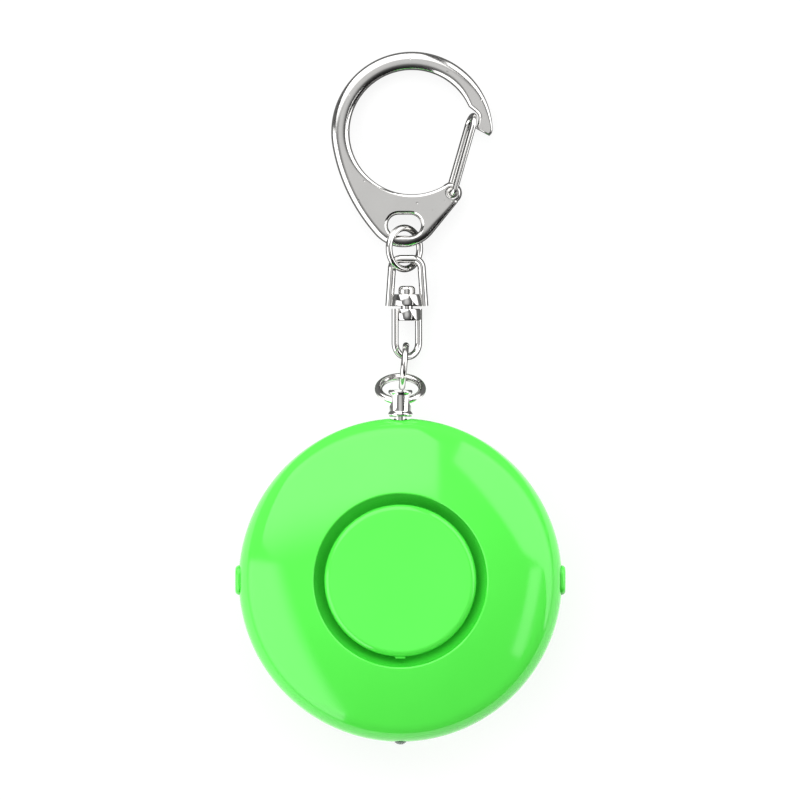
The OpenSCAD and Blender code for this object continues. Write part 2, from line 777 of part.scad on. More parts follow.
module link_ring() {
    color(steel) translate(link_c) rotate(-link_yaw) rotate([0, 90, 0])
        jump_ring(link_ring_r, link_ring_wire, 0);
}

// U of wire in the XY plane: legs up from y = 0 at x = -half and half, which lean in by the angle lean,
// round corners, and a top at y = len
module wire_u(half, len, corner, lean, wire) {
    lap = 0.05;
    bend_swell = 0.006;
    rise = len - corner + corner * sin(lean);
    leg = rise / cos(lean);
    top_half = half - rise * tan(lean) - corner * cos(lean);
    for (s = [0, 1]) mirror([s, 0, 0]) {
        translate([half, 0, 0]) rotate(lean) rod_y([0, 2 * lap, 0], wire / 2, leg - lap);
        translate([top_half, len - corner, 0]) rotate(lean)
            rotate_extrude(angle = 90 - lean) translate([corner, 0]) circle(d = wire + 2 * bend_swell);
    }
    if (top_half > lap) rod_x([-top_half - lap, len, 0], wire / 2, 2 * top_half + 2 * lap);
}

module swivel_eye() {
    leg = eye_len - eye_wire / 2;
    color(steel) translate([swivel_x, eye_top_y, swivel_z]) rotate([0, eye_turn, 0]) difference() {
        union() {
            rotate(180) wire_u(eye_r, leg, eye_r - 0.3, 0, eye_wire);
            rod_y([0, -swivel_base_t, 0], eye_base_r, swivel_base_t);
        }
        rod_y([0, -swivel_base_t - 1, 0], rivet_d / 2 + press_gap, swivel_base_t + 2);
    }
}

module swivel_rivet() {
    head_r = rivet_head_d / 2;
    shank_r = rivet_d / 2;
    foot = swivel_base_t;
    seat = swivel_gap + swivel_base_t + running_gap;
    crown = 0.8;
    profile = concat(
        [[0, -foot], [shank_r, -foot], [shank_r, seat], [head_r, seat]],
        arc([head_r - crown, seat + rivet_head_h - crown], crown, 0, 90, 6),
        [[0, seat + rivet_head_h]]);
    color(steel) translate([swivel_x, eye_top_y, swivel_z]) rotate([-90, 0, 0])
        rotate_extrude() polygon(profile);
}

module swivel_bail() {
    color(steel) translate([swivel_x, bail_y, swivel_z]) difference() {
        union() {
            wire_u(bail_half, bail_top_y - bail_y, bail_corner, bail_lean, bail_wire);
            rotate([-90, 0, 0]) cylinder(r1 = bail_base_r, r2 = bail_base_r - 0.3, h = swivel_base_t);
        }
        rod_y([0, -1, 0], rivet_d / 2 + running_gap, swivel_base_t + 2);
    }
}

module clip_ring() {
    color(steel) translate(clip_ring_c) rotate([0, clip_ring_roll, 0])
        jump_ring(clip_ring_r, clip_ring_wire, -80);
}

// Distance along the ray at angle a to the circle at c with radius r, and to the side line
function ray_circle(a, c, r) = let (e = [cos(a), sin(a)], k = c * e, m = c[0] * e[1] - c[1] * e[0])
    k + sqrt(r ^ 2 - m ^ 2);
function ray_side(a, d) = (side_n * foot_c + plate_foot_r - d) / (side_n * [cos(a), sin(a)]);
function polar(p) = let (a = atan2(p[1], p[0])) a < nose_a ? a + 360 : a;
flank_end_a = polar(foot_c + plate_foot_r * [-cos(foot_a), sin(foot_a)]);
foot_end_a = polar(foot_c + plate_foot_r * side_n);
ear_end_a = polar(ear_c + ear_r * side_n);
// Outer edge of the clip, moved in by d, on the ray at angle a
function clip_edge(a, d) =
    a <= flank_a ? hook_r - d :
    a <= flank_end_a ? ray_circle(a, flank_c, flank_r - d) :
    a <= foot_end_a ? ray_circle(a, foot_c, plate_foot_r - d) : ray_side(a, d);

// Section of the clip: quarter rounds on the four edges, as [inset, height]
round_steps = 4;
edge_half = [for (i = [0:round_steps]) let (t = 90 * i / round_steps)
    [clip_round * (1 - cos(t)), clip_t / 2 - clip_round + clip_round * sin(t)]];
edge_all = concat([for (e = back(edge_half)) [e[0], -e[1]]], edge_half);
nose_ease_a = 1.2;
nose_end_k = 0.84;
stations = concat(
    [nose_a - nose_ease_a],
    [for (i = [0:14]) nose_a + (notch_top_a - nose_a) * i / 14],
    [for (i = [1:48]) notch_top_a + (flank_a - notch_top_a) * i / 48],
    [for (i = [1:8]) flank_a + (flank_end_a - flank_a) * i / 8],
    [for (i = [1:14]) flank_end_a + (foot_end_a - flank_end_a) * i / 14],
    [for (i = [1:6]) foot_end_a + (ear_end_a - foot_end_a) * i / 6]);

// Turn of the section's inner edge against its outer edge, which slants the nose's end
function slant(a) = a >= notch_top_a ? 0 : nose_slant * (notch_top_a - a) / (notch_top_a - nose_a);
// Inner edge, with the pocket; the section at the very end is smaller, which eases its edges
function mouth_edge(a) = mouth_r + lookup(a + slant(a), notch);
function limb_section(a) = let (
    in_r = mouth_edge(a),
    out_r = clip_edge(a, 0),
    mid = (out_r + in_r) / 2,
    k = a < nose_a ? nose_end_k : 1,
    section = concat([for (e = edge_all) [clip_edge(a, e[0]), e[1]]],
                     [for (e = back(edge_all)) [in_r + e[0], e[1]]]))
    [for (q = section) let (r = mid + k * (q[0] - mid), t = a + slant(a) * (out_r - r) / (out_r - in_r))
        [r * cos(t), r * sin(t), k * q[1]]];

module clip_limb() {
    n = 2 * len(edge_all);
    m = len(stations);
    points = [for (a = stations) each limb_section(a)];
    sides = [for (j = [0:m - 2], i = [0:n - 1]) let (k = (i + 1) % n)
        each [[j * n + i, j * n + k, (j + 1) * n + k], [j * n + i, (j + 1) * n + k, (j + 1) * n + i]]];
    ends = [[for (i = [0:n - 1]) n - 1 - i], [for (i = [0:n - 1]) (m - 1) * n + i]];
    polyhedron(points, concat(sides, ends));
}

module clip_place() {
    translate(clip_c) rotate([-clip_pitch, 0, 0]) children();
}

// Frame of the gate: origin at the ear's middle, z along the pivot, y towards the nose
module gate_place() {
    translate([ear_c[0], ear_c[1], 0]) rotate(gate_a - 90) rotate([0, gate_lean, 0]) children();
}

// Solid skinned over outlines of equal length, one at each height
module skin(outlines, heights) {
    n = len(outlines[0]);
    m = len(heights);
    points = [for (j = [0:m - 1]) each [for (q = outlines[j]) [q[0], q[1], heights[j]]]];
    sides = [for (j = [0:m - 2], i = [0:n - 1]) let (k = (i + 1) % n)
        each [[j * n + i, (j + 1) * n + k, j * n + k], [j * n + i, (j + 1) * n + i, (j + 1) * n + k]]];
    ends = [[for (i = [0:n - 1]) i], [for (i = [0:n - 1]) m * n - 1 - i]];
    polyhedron(points, concat(sides, ends));
}

// Cutter for the slot, with its edges eased
module slot_cutter() {
    top = clip_t / 2 + 0.2;
    grow = slot_bevel + 0.2;
    foot = clip_t / 2 - slot_bevel;
    plain = round_bar(slot_w, slot_h, 0);
    wide = round_bar(slot_w, slot_h, grow);
    translate([slot_c[0], slot_c[1], 0]) skin([wide, plain, plain, wide], [-top, -foot, foot, top]);
}

module clip_body() {
    ear_t = clip_t - 0.06;
    ear_edge = [for (e = edge_all) [ear_r - e[0], e[1] * ear_t / clip_t]];
    color(steel) clip_place() difference() {
        union() {
            clip_limb();
            translate([ear_c[0], ear_c[1], 0]) rotate_extrude()
                polygon(concat([[0, -ear_t / 2]], ear_edge, [[0, ear_t / 2]]));
        }
        slot_cutter();
        gate_place() translate([0, 0, -clip_t]) cylinder(r = gate_r + running_gap, h = 2 * clip_t);
    }
}

module clip_gate() {
    straight = gate_len - gate_leg - gate_bend;
    color(steel) clip_place() gate_place() union() {
        for (s = [0, 1]) mirror([0, 0, s]) {
            translate([0, 0, 0.2]) cylinder(r = gate_r, h = gate_leg - gate_bend - 0.2);
            translate([0, gate_bend, gate_leg - gate_bend]) rotate([0, -90, 0]) rotate(270)
                rotate_extrude(angle = 90) translate([gate_bend, 0]) circle(r = gate_r);
            rod_y([0, gate_bend, gate_leg], gate_r, straight);
        }
        translate([0, gate_bend + straight, 0]) rotate([0, -90, 0])
            rotate_extrude(angle = 180) translate([gate_leg, 0]) circle(r = gate_r);
    }
}

front_shell();
siren_cap();
rear_shell();
housing_screws();
circuit_board();
board_screws();
alarm_chip();
driver_transistor();
filter_capacitor();
coil_core();
coil_winding();
piezo_plate();
piezo_ceramic();
piezo_lead_plus();
piezo_lead_minus();
battery_cell_1();
battery_cell_2();
battery_cell_3();
cell_link_rear();
cell_link_front();
cell_contact_plus();
cell_contact_minus();
left_switch();
right_switch();
left_plunger();
right_plunger();
left_button();
right_button();
torch_led();
led_leads();
pin_guide();
pin_contact_left();
pin_contact_right();
pull_pin();
pin_ferrule();
pin_ring();
link_ring();
swivel_eye();
swivel_rivet();
swivel_bail();
clip_ring();
clip_body();
clip_gate();
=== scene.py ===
import json
import math
import bpy
from mathutils import Matrix, Vector


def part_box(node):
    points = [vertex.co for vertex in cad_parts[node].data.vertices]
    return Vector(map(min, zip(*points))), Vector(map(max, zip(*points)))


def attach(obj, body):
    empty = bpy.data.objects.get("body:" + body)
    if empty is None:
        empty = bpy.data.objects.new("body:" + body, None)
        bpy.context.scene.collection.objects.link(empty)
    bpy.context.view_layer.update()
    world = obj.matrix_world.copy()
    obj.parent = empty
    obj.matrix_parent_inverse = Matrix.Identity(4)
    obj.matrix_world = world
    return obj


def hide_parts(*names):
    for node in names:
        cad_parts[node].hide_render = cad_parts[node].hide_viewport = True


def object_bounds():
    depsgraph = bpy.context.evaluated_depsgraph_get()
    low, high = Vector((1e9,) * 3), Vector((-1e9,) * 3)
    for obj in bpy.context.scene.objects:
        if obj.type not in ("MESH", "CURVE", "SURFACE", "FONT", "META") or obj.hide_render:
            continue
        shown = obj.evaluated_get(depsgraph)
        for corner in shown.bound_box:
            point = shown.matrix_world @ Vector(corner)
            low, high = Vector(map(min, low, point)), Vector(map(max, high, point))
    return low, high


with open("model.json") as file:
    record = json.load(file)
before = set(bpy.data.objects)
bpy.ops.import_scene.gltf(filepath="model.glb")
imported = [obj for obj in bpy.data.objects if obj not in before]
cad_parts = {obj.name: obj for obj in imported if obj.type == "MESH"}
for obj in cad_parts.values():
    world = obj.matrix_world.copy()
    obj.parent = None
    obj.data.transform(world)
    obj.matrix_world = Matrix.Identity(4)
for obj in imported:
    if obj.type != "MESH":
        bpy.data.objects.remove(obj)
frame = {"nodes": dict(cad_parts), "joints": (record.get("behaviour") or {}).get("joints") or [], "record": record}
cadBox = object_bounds()
mm = 0.001
nodes = frame["nodes"]
joints = {j["name"]: j for j in frame["joints"]}
mounts = {m["name"]: m for m in frame["record"]["mounts"]}


def jointPoint(name):
    return Vector(joints[name]["pos_m"])


# camera straight above, at the photograph's scale, on a long lens
cameraSet = {"mmPerPixel": 0.1853, "pixels": 800, "centre": (-0.07, 33.37), "above": 3000, "level": 11, "sensor": 36}


def makeCamera(s):
    fieldWidth = s["mmPerPixel"] * s["pixels"]
    data = bpy.data.cameras.new("viewCamera")
    data.sensor_width = s["sensor"]
    data.lens = s["sensor"] * (s["above"] - s["level"]) / fieldWidth
    data.clip_start, data.clip_end = 0.05, 20
    camera = bpy.data.objects.new("viewCamera", data)
    bpy.context.scene.collection.objects.link(camera)
    camera.location = (s["centre"][0] * mm, s["centre"][1] * mm, s["above"] * mm)
    bpy.context.scene.camera = camera


makeCamera(cameraSet)


# materials

def linear(hexText):  # sRGB hex to linear RGBA
    parts = [int(hexText[i:i + 2], 16) / 255 for i in (0, 2, 4)]
    return [c / 12.92 if c <= 0.04045 else ((c + 0.055) / 1.055) ** 2.4 for c in parts] + [1]


def addNode(tree, kind, values=None, links=None, **settings):  # a node with its settings, constants and links
    node = tree.nodes.new(kind)
    for name, value in settings.items():
        setattr(node, name, value)
    for name, value in (values or {}).items():
        node.inputs[name].default_value = value
    for name, socket in (links or {}).items():
        tree.links.new(socket, node.inputs[name])
    return node


def perMm(size):  # texture scale whose features are about this many millimetres
    return 1 / (size * mm)


def finishMaterial(name, s):
    # colour drifts between two tones, roughness drifts between two values, and a fine grain lifts the surface
    material = bpy.data.materials.new(name)
    material.use_nodes = True
    tree = material.node_tree
    tree.nodes.clear()
    place = addNode(tree, "ShaderNodeTexCoord").outputs["Object"]
    drift = addNode(tree, "ShaderNodeTexNoise", {"Scale": perMm(s["driftMm"]), "Detail": 3}, {"Vector": place})
    grain = addNode(tree, "ShaderNodeTexNoise", {"Scale": perMm(s["grainMm"]), "Detail": 2}, {"Vector": place})
    tone = addNode(tree, "ShaderNodeMix", {6: linear(s["hexA"]), 7: linear(s["hexB"])}, {0: drift.outputs["Fac"]},
                   data_type="RGBA")
    colour = tone.outputs[2]
    if "paintedRecessShade" in s:  # painted shade: where ambient occlusion finds a recess the green is mixed towards a deeper green, in place of the light lost as it bounces about there
        r = s["paintedRecessShade"]
        near = addNode(tree, "ShaderNodeAmbientOcclusion", {"Distance": r["mm"] * mm}, samples=8).outputs["AO"]
        openness = addNode(tree, "ShaderNodeMapRange", {"From Min": r["range"][0], "From Max": r["range"][1]},
                           {"Value": near}).outputs["Result"]
        colour = addNode(tree, "ShaderNodeMix", {6: linear(r["hex"])}, {0: openness, 7: colour},
                         data_type="RGBA").outputs[2]
    rough = addNode(tree, "ShaderNodeMapRange", {"From Min": 0.3, "From Max": 0.7, "To Min": s["rough"][0],
                                                 "To Max": s["rough"][1]}, {"Value": drift.outputs["Fac"]})
    lift = addNode(tree, "ShaderNodeBump", {"Strength": s["bump"], "Distance": s["bumpMm"] * mm},
                   {"Height": grain.outputs["Fac"]})
    if "pits" in s:  # small dents, one to a cell
        p = s["pits"]
        cells = addNode(tree, "ShaderNodeTexVoronoi", {"Scale": perMm(p["mm"])}, {"Vector": place})
        dents = addNode(tree, "ShaderNodeMapRange", {"From Min": p["range"][0], "From Max": p["range"][1]},
                        {"Value": cells.outputs["Distance"]})
        lift = addNode(tree, "ShaderNodeBump", {"Strength": p["bump"], "Distance": p["deepMm"] * mm},
                       {"Height": dents.outputs["Result"], "Normal": lift.outputs["Normal"]})
    shader = addNode(tree, "ShaderNodeBsdfPrincipled", s["shader"],
                     {"Base Color": colour, "Roughness": rough.outputs["Result"],
                      "Normal": lift.outputs["Normal"]})
    addNode(tree, "ShaderNodeOutputMaterial", None, {"Surface": shader.outputs["BSDF"]})
    return material


finishes = {
    # ABS moulded in a polished tool: even bright green, wet gloss with a faint ripple
    "polishedGreenAbs": {"hexA": "57EF4D", "hexB": "5DF353", "driftMm": 14, "rough": (0.06, 0.10), "grainMm": 2.5,
                         "bump": 0.06, "bumpMm": 0.05, "shader": {"IOR": 1.53},
                         # painted shade in the groove and other recesses: a deeper green mixed in by ambient occlusion
                         "paintedRecessShade": {"hex": "0FC41C", "mm": 2.5, "range": (0.45, 0.85)}},
    # bright nickel over drawn wire: mirror with fine drawing marks
    "nickelWire": {"hexA": "D6D5D3", "hexB": "DEDDDB", "driftMm": 2, "rough": (0.05, 0.12), "grainMm": 0.5,
                   "bump": 0.03, "bumpMm": 0.03, "shader": {"Metallic": 1}},
    # bright nickel over a tumbled zinc casting: softer mirror, small pits on the flats
    "nickelCasting": {"hexA": "CFCECC", "hexB": "DAD9D7", "driftMm": 4, "rough": (0.10, 0.18), "grainMm": 0.7,
                      "bump": 0.12, "bumpMm": 0.04, "shader": {"Metallic": 1},
                      "pits": {"mm": 1.7, "range": (0.03, 0.13), "bump": 0.5, "deepMm": 0.06}},
    # clear epoxy cast in a smooth mould: water-clear lens
    "clearEpoxy": {"hexA": "F2F6F8", "hexB": "FAFCFF", "driftMm": 2, "rough": (0.03, 0.06), "grainMm": 0.6,
                   "bump": 0.02, "bumpMm": 0.02, "shader": {"IOR": 1.55, "Transmission Weight": 0.85}},
    # zinc plate on steel: grey, slightly clouded metal
    "zincPlatedSteel": {"hexA": "A9ABAE", "hexB": "BEBFC2", "driftMm": 1.5, "rough": (0.25, 0.4), "grainMm": 0.3,
                        "bump": 0.1, "bumpMm": 0.02, "shader": {"Metallic": 1}},
    # nickel-plated spring strip, rolled: warm grey with a soft sheen
    "rolledSpringStrip": {"hexA": "B9B29C", "hexB": "C8C2AF", "driftMm": 1.2, "rough": (0.25, 0.4), "grainMm": 0.25,
                          "bump": 0.1, "bumpMm": 0.02, "shader": {"Metallic": 1}},
    # epoxy-glass board under green solder mask: satin, with the weave just felt
    "solderMask": {"hexA": "1B5B2A", "hexB": "226B33", "driftMm": 3, "rough": (0.35, 0.5), "grainMm": 0.6,
                   "bump": 0.15, "bumpMm": 0.03, "shader": {"IOR": 1.5}},
    # moulded black epoxy: matt with a fine sand texture
    "mouldedEpoxy": {"hexA": "1E1E20", "hexB": "29292B", "driftMm": 1.5, "rough": (0.55, 0.7), "grainMm": 0.2,
                     "bump": 0.25, "bumpMm": 0.02, "shader": {"IOR": 1.5}},
    # drawn aluminium can: pale satin metal
    "drawnAluminium": {"hexA": "AAB0BD", "hexB": "BCC2CD", "driftMm": 1, "rough": (0.25, 0.35), "grainMm": 0.3,
                       "bump": 0.1, "bumpMm": 0.02, "shader": {"Metallic": 1}},
    # sintered ferrite: dark grey, dull and grainy
    "sinteredFerrite": {"hexA": "37383A", "hexB": "444548", "driftMm": 1, "rough": (0.6, 0.8), "grainMm": 0.2,
                        "bump": 0.3, "bumpMm": 0.03, "shader": {"IOR": 1.5}},
    # enamelled copper wire: red-brown gloss with ridges a wire apart
    "enamelledCopper": {"hexA": "B0552A", "hexB": "C46A38", "driftMm": 0.6, "rough": (0.2, 0.35), "grainMm": 0.3,
                        "bump": 0.4, "bumpMm": 0.05, "shader": {"Metallic": 1}},
    # rolled brass: yellow metal with a satin face
    "rolledBrass": {"hexA": "D0A94C", "hexB": "DDB75C", "driftMm": 2, "rough": (0.22, 0.35), "grainMm": 0.3,
                    "bump": 0.08, "bumpMm": 0.02, "shader": {"Metallic": 1}},
    # silvered ceramic: off-white, dull
    "silveredCeramic": {"hexA": "E2E0D8", "hexB": "EDEBE4", "driftMm": 2, "rough": (0.45, 0.6), "grainMm": 0.3,
                        "bump": 0.1, "bumpMm": 0.02, "shader": {"IOR": 1.5}},
    # extruded PVC in red: smooth soft gloss
    "redPvc": {"hexA": "B81E1C", "hexB": "C62825", "driftMm": 1, "rough": (0.3, 0.4), "grainMm": 0.3,
               "bump": 0.08, "bumpMm": 0.02, "shader": {"IOR": 1.5}},
    # extruded PVC in black: smooth soft gloss
    "blackPvc": {"hexA": "18181A", "hexB": "222224", "driftMm": 1, "rough": (0.3, 0.4), "grainMm": 0.3,
                 "bump": 0.08, "bumpMm": 0.02, "shader": {"IOR": 1.5}},
    # moulded nylon: off-white and satin
    "mouldedNylon": {"hexA": "E6E5DE", "hexB": "EFEEE8", "driftMm": 1, "rough": (0.4, 0.5), "grainMm": 0.3,
                     "bump": 0.1, "bumpMm": 0.02, "shader": {"IOR": 1.5}},
    # moulded acetal: black, waxy
    "mouldedAcetal": {"hexA": "19191B", "hexB": "212123", "driftMm": 1, "rough": (0.35, 0.45), "grainMm": 0.3,
                      "bump": 0.1, "bumpMm": 0.02, "shader": {"IOR": 1.5}},
}
materials = {name: finishMaterial(name, s) for name, s in finishes.items()}

slotFinish = {"green_abs": "polishedGreenAbs", "chrome": "nickelWire", "steel": "zincPlatedSteel",
              "nickel_spring": "rolledSpringStrip", "board": "solderMask", "black_epoxy": "mouldedEpoxy",
              "capacitor_can": "drawnAluminium", "ferrite": "sinteredFerrite", "copper_wire": "enamelledCopper",
              "sounder_brass": "rolledBrass", "ceramic": "silveredCeramic", "red_wire": "redPvc",
              "black_wire": "blackPvc", "white_nylon": "mouldedNylon", "clear_lens": "clearEpoxy",
              "black_acetal": "mouldedAcetal"}
for part in frame["record"]["subparts"]:  # every CAD node wears the finish of its slot
    slots = nodes[part["node"]].data.materials
    slots.clear()
    slots.append(materials[slotFinish[part["material_slot"]]])
print("materials:", len(materials))


# modelling by operators

def clearSelection():
    bpy.ops.object.select_all(action="DESELECT")


def editAll(piece, mode="VERT"):
    bpy.context.view_layer.objects.active = piece
    bpy.ops.object.mode_set(mode="EDIT")
    bpy.ops.mesh.select_mode(type=mode)
    bpy.ops.mesh.select_all(action="SELECT")


def applyPlace(piece):
    clearSelection()
    piece.select_set(True)
    bpy.context.view_layer.objects.active = piece
    bpy.ops.object.transform_apply(location=True, rotation=True, scale=True)


def drawLine(name, points):  # a line of vertices, extruded point by point
    clearSelection()
    bpy.ops.mesh.primitive_plane_add(size=mm, location=points[0])
    piece = bpy.context.object
    piece.name = piece.data.name = name
    applyPlace(piece)
    editAll(piece)
    bpy.ops.mesh.merge(type="CENTER")
    for start, end in zip(points, points[1:]):
        bpy.ops.mesh.extrude_region_move(TRANSFORM_OT_translate={"value": Vector(end) - Vector(start)})
    return piece


def closeUp():  # merge what meets and turn the faces outwards, in edit mode
    bpy.ops.mesh.select_all(action="SELECT")
    bpy.ops.mesh.remove_doubles(threshold=2e-6)
    bpy.ops.mesh.normals_make_consistent(inside=False)
    bpy.ops.object.mode_set(mode="OBJECT")


def smooth(piece, degrees=35):
    clearSelection()
    piece.select_set(True)
    bpy.context.view_layer.objects.active = piece
    bpy.ops.object.shade_smooth_by_angle(angle=math.radians(degrees))


def revolve(name, profile, origin=(0, 0, 0), axis=(0, 0, 1), side=(1, 0, 0), steps=160):
    origin, axis, side = Vector(origin), Vector(axis), Vector(side)
    piece = drawLine(name, [origin + side * r * mm + axis * h * mm for r, h in profile])
    bpy.ops.mesh.select_all(action="SELECT")
    bpy.ops.mesh.spin(steps=steps, angle=math.tau, center=origin, axis=axis)
    closeUp()
    return piece


def arc(centre, radius, fromDeg, toDeg, steps):
    turns = [math.radians(fromDeg + (toDeg - fromDeg) * i / steps) for i in range(steps + 1)]
    return [(centre[0] + radius * math.cos(t), centre[1] + radius * math.sin(t)) for t in turns]


def cut(piece, cutter, operation="DIFFERENCE", solver="EXACT"):
    clearSelection()
    bpy.context.view_layer.objects.active = piece
    piece.select_set(True)
    bpy.ops.object.modifier_add(type="BOOLEAN")
    change = piece.modifiers[-1]
    change.operation = operation
    change.solver = solver
    change.object = cutter
    bpy.ops.object.modifier_apply(modifier=change.name)
    bpy.data.objects.remove(cutter)
    editAll(piece)
    bpy.ops.mesh.dissolve_degenerate(threshold=1e-5)  # slivers that the cut leaves
    closeUp()


def soften(piece, width, segments, degrees=40):
    clearSelection()
    bpy.context.view_layer.objects.active = piece
    piece.select_set(True)
    bpy.ops.object.modifier_add(type="BEVEL")
    change = piece.modifiers[-1]
    change.width = width * mm
    change.segments = segments
    change.limit_method = "ANGLE"
    change.angle_limit = math.radians(degrees)
    change.harden_normals = True
    bpy.ops.object.modifier_apply(modifier=change.name)


def weighNormals(piece):  # flat faces stay flat beside rounded edges
    clearSelection()
    bpy.context.view_layer.objects.active = piece
    piece.select_set(True)
    bpy.ops.object.modifier_add(type="WEIGHTED_NORMAL")
    bpy.ops.object.modifier_apply(modifier=piece.modifiers[-1].name)


def selectOnly(piece, kind, chosen):  # leaves the piece in edit mode with these faces or edges selected
    mesh = piece.data
    for group in (mesh.vertices, mesh.edges, mesh.polygons):
        group.foreach_set("select", [False] * len(group))
    for item in chosen:
        item.select = True
    clearSelection()
    piece.select_set(True)
    bpy.context.view_layer.objects.active = piece
    bpy.ops.object.mode_set(mode="EDIT")
    bpy.ops.mesh.select_mode(type=kind)


def hand(piece, finish, body, slot, *replaced):
    piece.data.materials.clear()
    piece.data.materials.append(materials[finish])
    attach(piece, body)
    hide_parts(*replaced)


# housing

housing = {"bodyR": 30, "rimR": 5.5, "frontH": 10.5, "rearH": 12, "seamZ": 11, "wall": 1.6, "seamBevel": 0.12,
           "grooveR": 16, "grooveW": 1.9, "grooveDepth": 2.3, "grooveRise": 0.5, "grooveFall": 0.75, "grooveLap": 0.1,
           "lip": 0.35, "ledgeT": 1.3, "ledgeLap": 1.2, "portR": 11.5, "soundGap": 0.7, "capRound": 1.2,
           "capFlat": 2.2, "capEase": 0.2, "floorT": 2.2, "floorR": 14, "rimSteps": 28, "domeSteps": 28, "steps": 192}


def domeRadius(h):
    return ((housing["bodyR"] - housing["rimR"]) ** 2 + h ** 2 - housing["rimR"] ** 2) / (2 * (h - housing["rimR"]))


def domeHeight(h, inset, r):
    return h - domeRadius(h) + math.sqrt((domeRadius(h) - inset) ** 2 - r ** 2)


def halfProfile(h, inset, toR):  # from the seam up the rim and over the dome to radius toR
    rimC = housing["bodyR"] - housing["rimR"]
    meet = math.degrees(math.acos(rimC / (domeRadius(h) - housing["rimR"])))
    rim = arc((rimC, 0), housing["rimR"] - inset, 0, meet, housing["rimSteps"])
    startR, count = rim[-1][0], housing["domeSteps"]
    rs = [startR + (toR - startR) * i / count for i in range(1, count + 1)]
    return rim + [(r, domeHeight(h, inset, r)) for r in rs]


def seamEase(profile):  # the outer edge at the seam is eased by a small round
    b = housing["seamBevel"]
    return [(profile[0][0] - b, 0)] + [(profile[0][0] - b * 0.3, b * 0.3)] + [p for p in profile if p[1] > b]


openings = {"buttonLen": 5.6, "buttonH": 3.6, "buttonGap": 0.2, "ledR": 1.5, "guideR": 2.0, "gap": 0.05, "fromR": 25,
            "reach": 8}


def stadium(length, height, grow, steps=14):
    across = (length - height) / 2
    return arc((across, 0), height / 2 + grow, -90, 90, steps) + arc((-across, 0), height / 2 + grow, 90, 270, steps)


def prism(name, outline, origin, u, v, along):  # a filled outline drawn out along a vector
    origin, u, v = Vector(origin), Vector(u), Vector(v)
    points = [origin + u * a * mm + v * b * mm for a, b in outline]
    piece = drawLine(name, points)
    bpy.ops.mesh.select_all(action="SELECT")
    bpy.ops.mesh.remove_doubles(threshold=2e-6)
    bpy.ops.mesh.edge_face_add()
    bpy.ops.mesh.extrude_region_move(TRANSFORM_OT_translate={"value": Vector(along) * mm})
    closeUp()
    return piece


def rimCutters():
    z = housing["seamZ"] * mm
    o = openings
    pieces = []
    for sign in (1, -1):
        pieces.append(prism("buttonCutter", stadium(o["buttonLen"], o["buttonH"], o["buttonGap"]),
                            (sign * o["fromR"] * mm, 0, z), (0, 1, 0), (0, 0, 1), (sign * o["reach"], 0, 0)))
    for sign, radius in ((-1, o["ledR"]), (1, o["guideR"])):
        pieces.append(prism("holeCutter", arc((0, 0), radius + o["gap"], 5, 365, 40),
                            (0, sign * o["fromR"] * mm, z), (1, 0, 0), (0, 0, 1), (0, sign * o["reach"], 0)))
    return pieces


def makeFrontShell():
    h = housing
    edgeR = h["grooveR"] + h["lip"]
    topZ = domeHeight(h["frontH"], 0, h["grooveR"])
    ledge = topZ - h["grooveDepth"]
    outer = seamEase(halfProfile(h["frontH"], 0, edgeR))
    lip = arc((edgeR, topZ - 1.2 * h["lip"]), h["lip"], 100, 180, 6)
    low, lapR = ledge - h["grooveFall"], h["grooveR"] + h["ledgeLap"]
    floor = [(h["grooveR"], ledge + h["grooveRise"]), (h["grooveR"] - h["grooveW"] - h["grooveLap"], low),
             (h["portR"], low), (h["portR"], ledge - h["ledgeT"]), (lapR, ledge - h["ledgeT"])]  # slopes to the cap
    inner = list(reversed(halfProfile(h["frontH"], h["wall"], lapR)))
    profile = outer + lip + floor + inner
    profile = profile + profile[:1]
    shell = revolve("frontShell", profile, (0, 0, h["seamZ"] * mm), steps=h["steps"])
    for cutter in rimCutters():
        cut(shell, cutter)
    smooth(shell)
    hand(shell, "polishedGreenAbs", "housing", "green_abs", "front_shell")


rearBase = {"screwR": 22, "headR": 1.9, "gap": 0.1, "headDepth": 2.6, "angles": (45, 135, 225, 315)}


def makeRearShell():
    h = housing
    baseR = math.sqrt(domeRadius(h["rearH"]) ** 2 - (h["seamZ"] - h["rearH"] + domeRadius(h["rearH"])) ** 2)
    outer = seamEase(halfProfile(h["rearH"], 0, baseR))
    base = [(baseR, h["seamZ"]), (0, h["seamZ"]), (0, h["seamZ"] - h["floorT"])]
    inner = list(reversed(halfProfile(h["rearH"], h["wall"], h["floorR"])))
    profile = outer[:-1] + base + inner
    profile = profile + profile[:1]
    shell = revolve("rearShell", profile, (0, 0, h["seamZ"] * mm), (0, 0, -1), steps=h["steps"])
    s = rearBase
    seat = h["seamZ"] - domeHeight(h["rearH"], 0, s["screwR"]) + s["headDepth"]
    for cutter in rimCutters():
        cut(shell, cutter)
    for turn in s["angles"]:
        t = math.radians(turn)
        pocket = prism("pocketCutter", arc((0, 0), s["headR"] + s["gap"], 5, 365, 40),
                       (s["screwR"] * math.cos(t) * mm, s["screwR"] * math.sin(t) * mm, -mm),
                       (1, 0, 0), (0, 1, 0), (0, 0, seat + 1))
        cut(shell, pocket)
    smooth(shell)
    hand(shell, "polishedGreenAbs", "housing", "green_abs", "rear_shell")


capKey = {"halfW": 0.95, "out": 0.35, "back": 0.8, "drop": 0.7, "edge": 0.15}


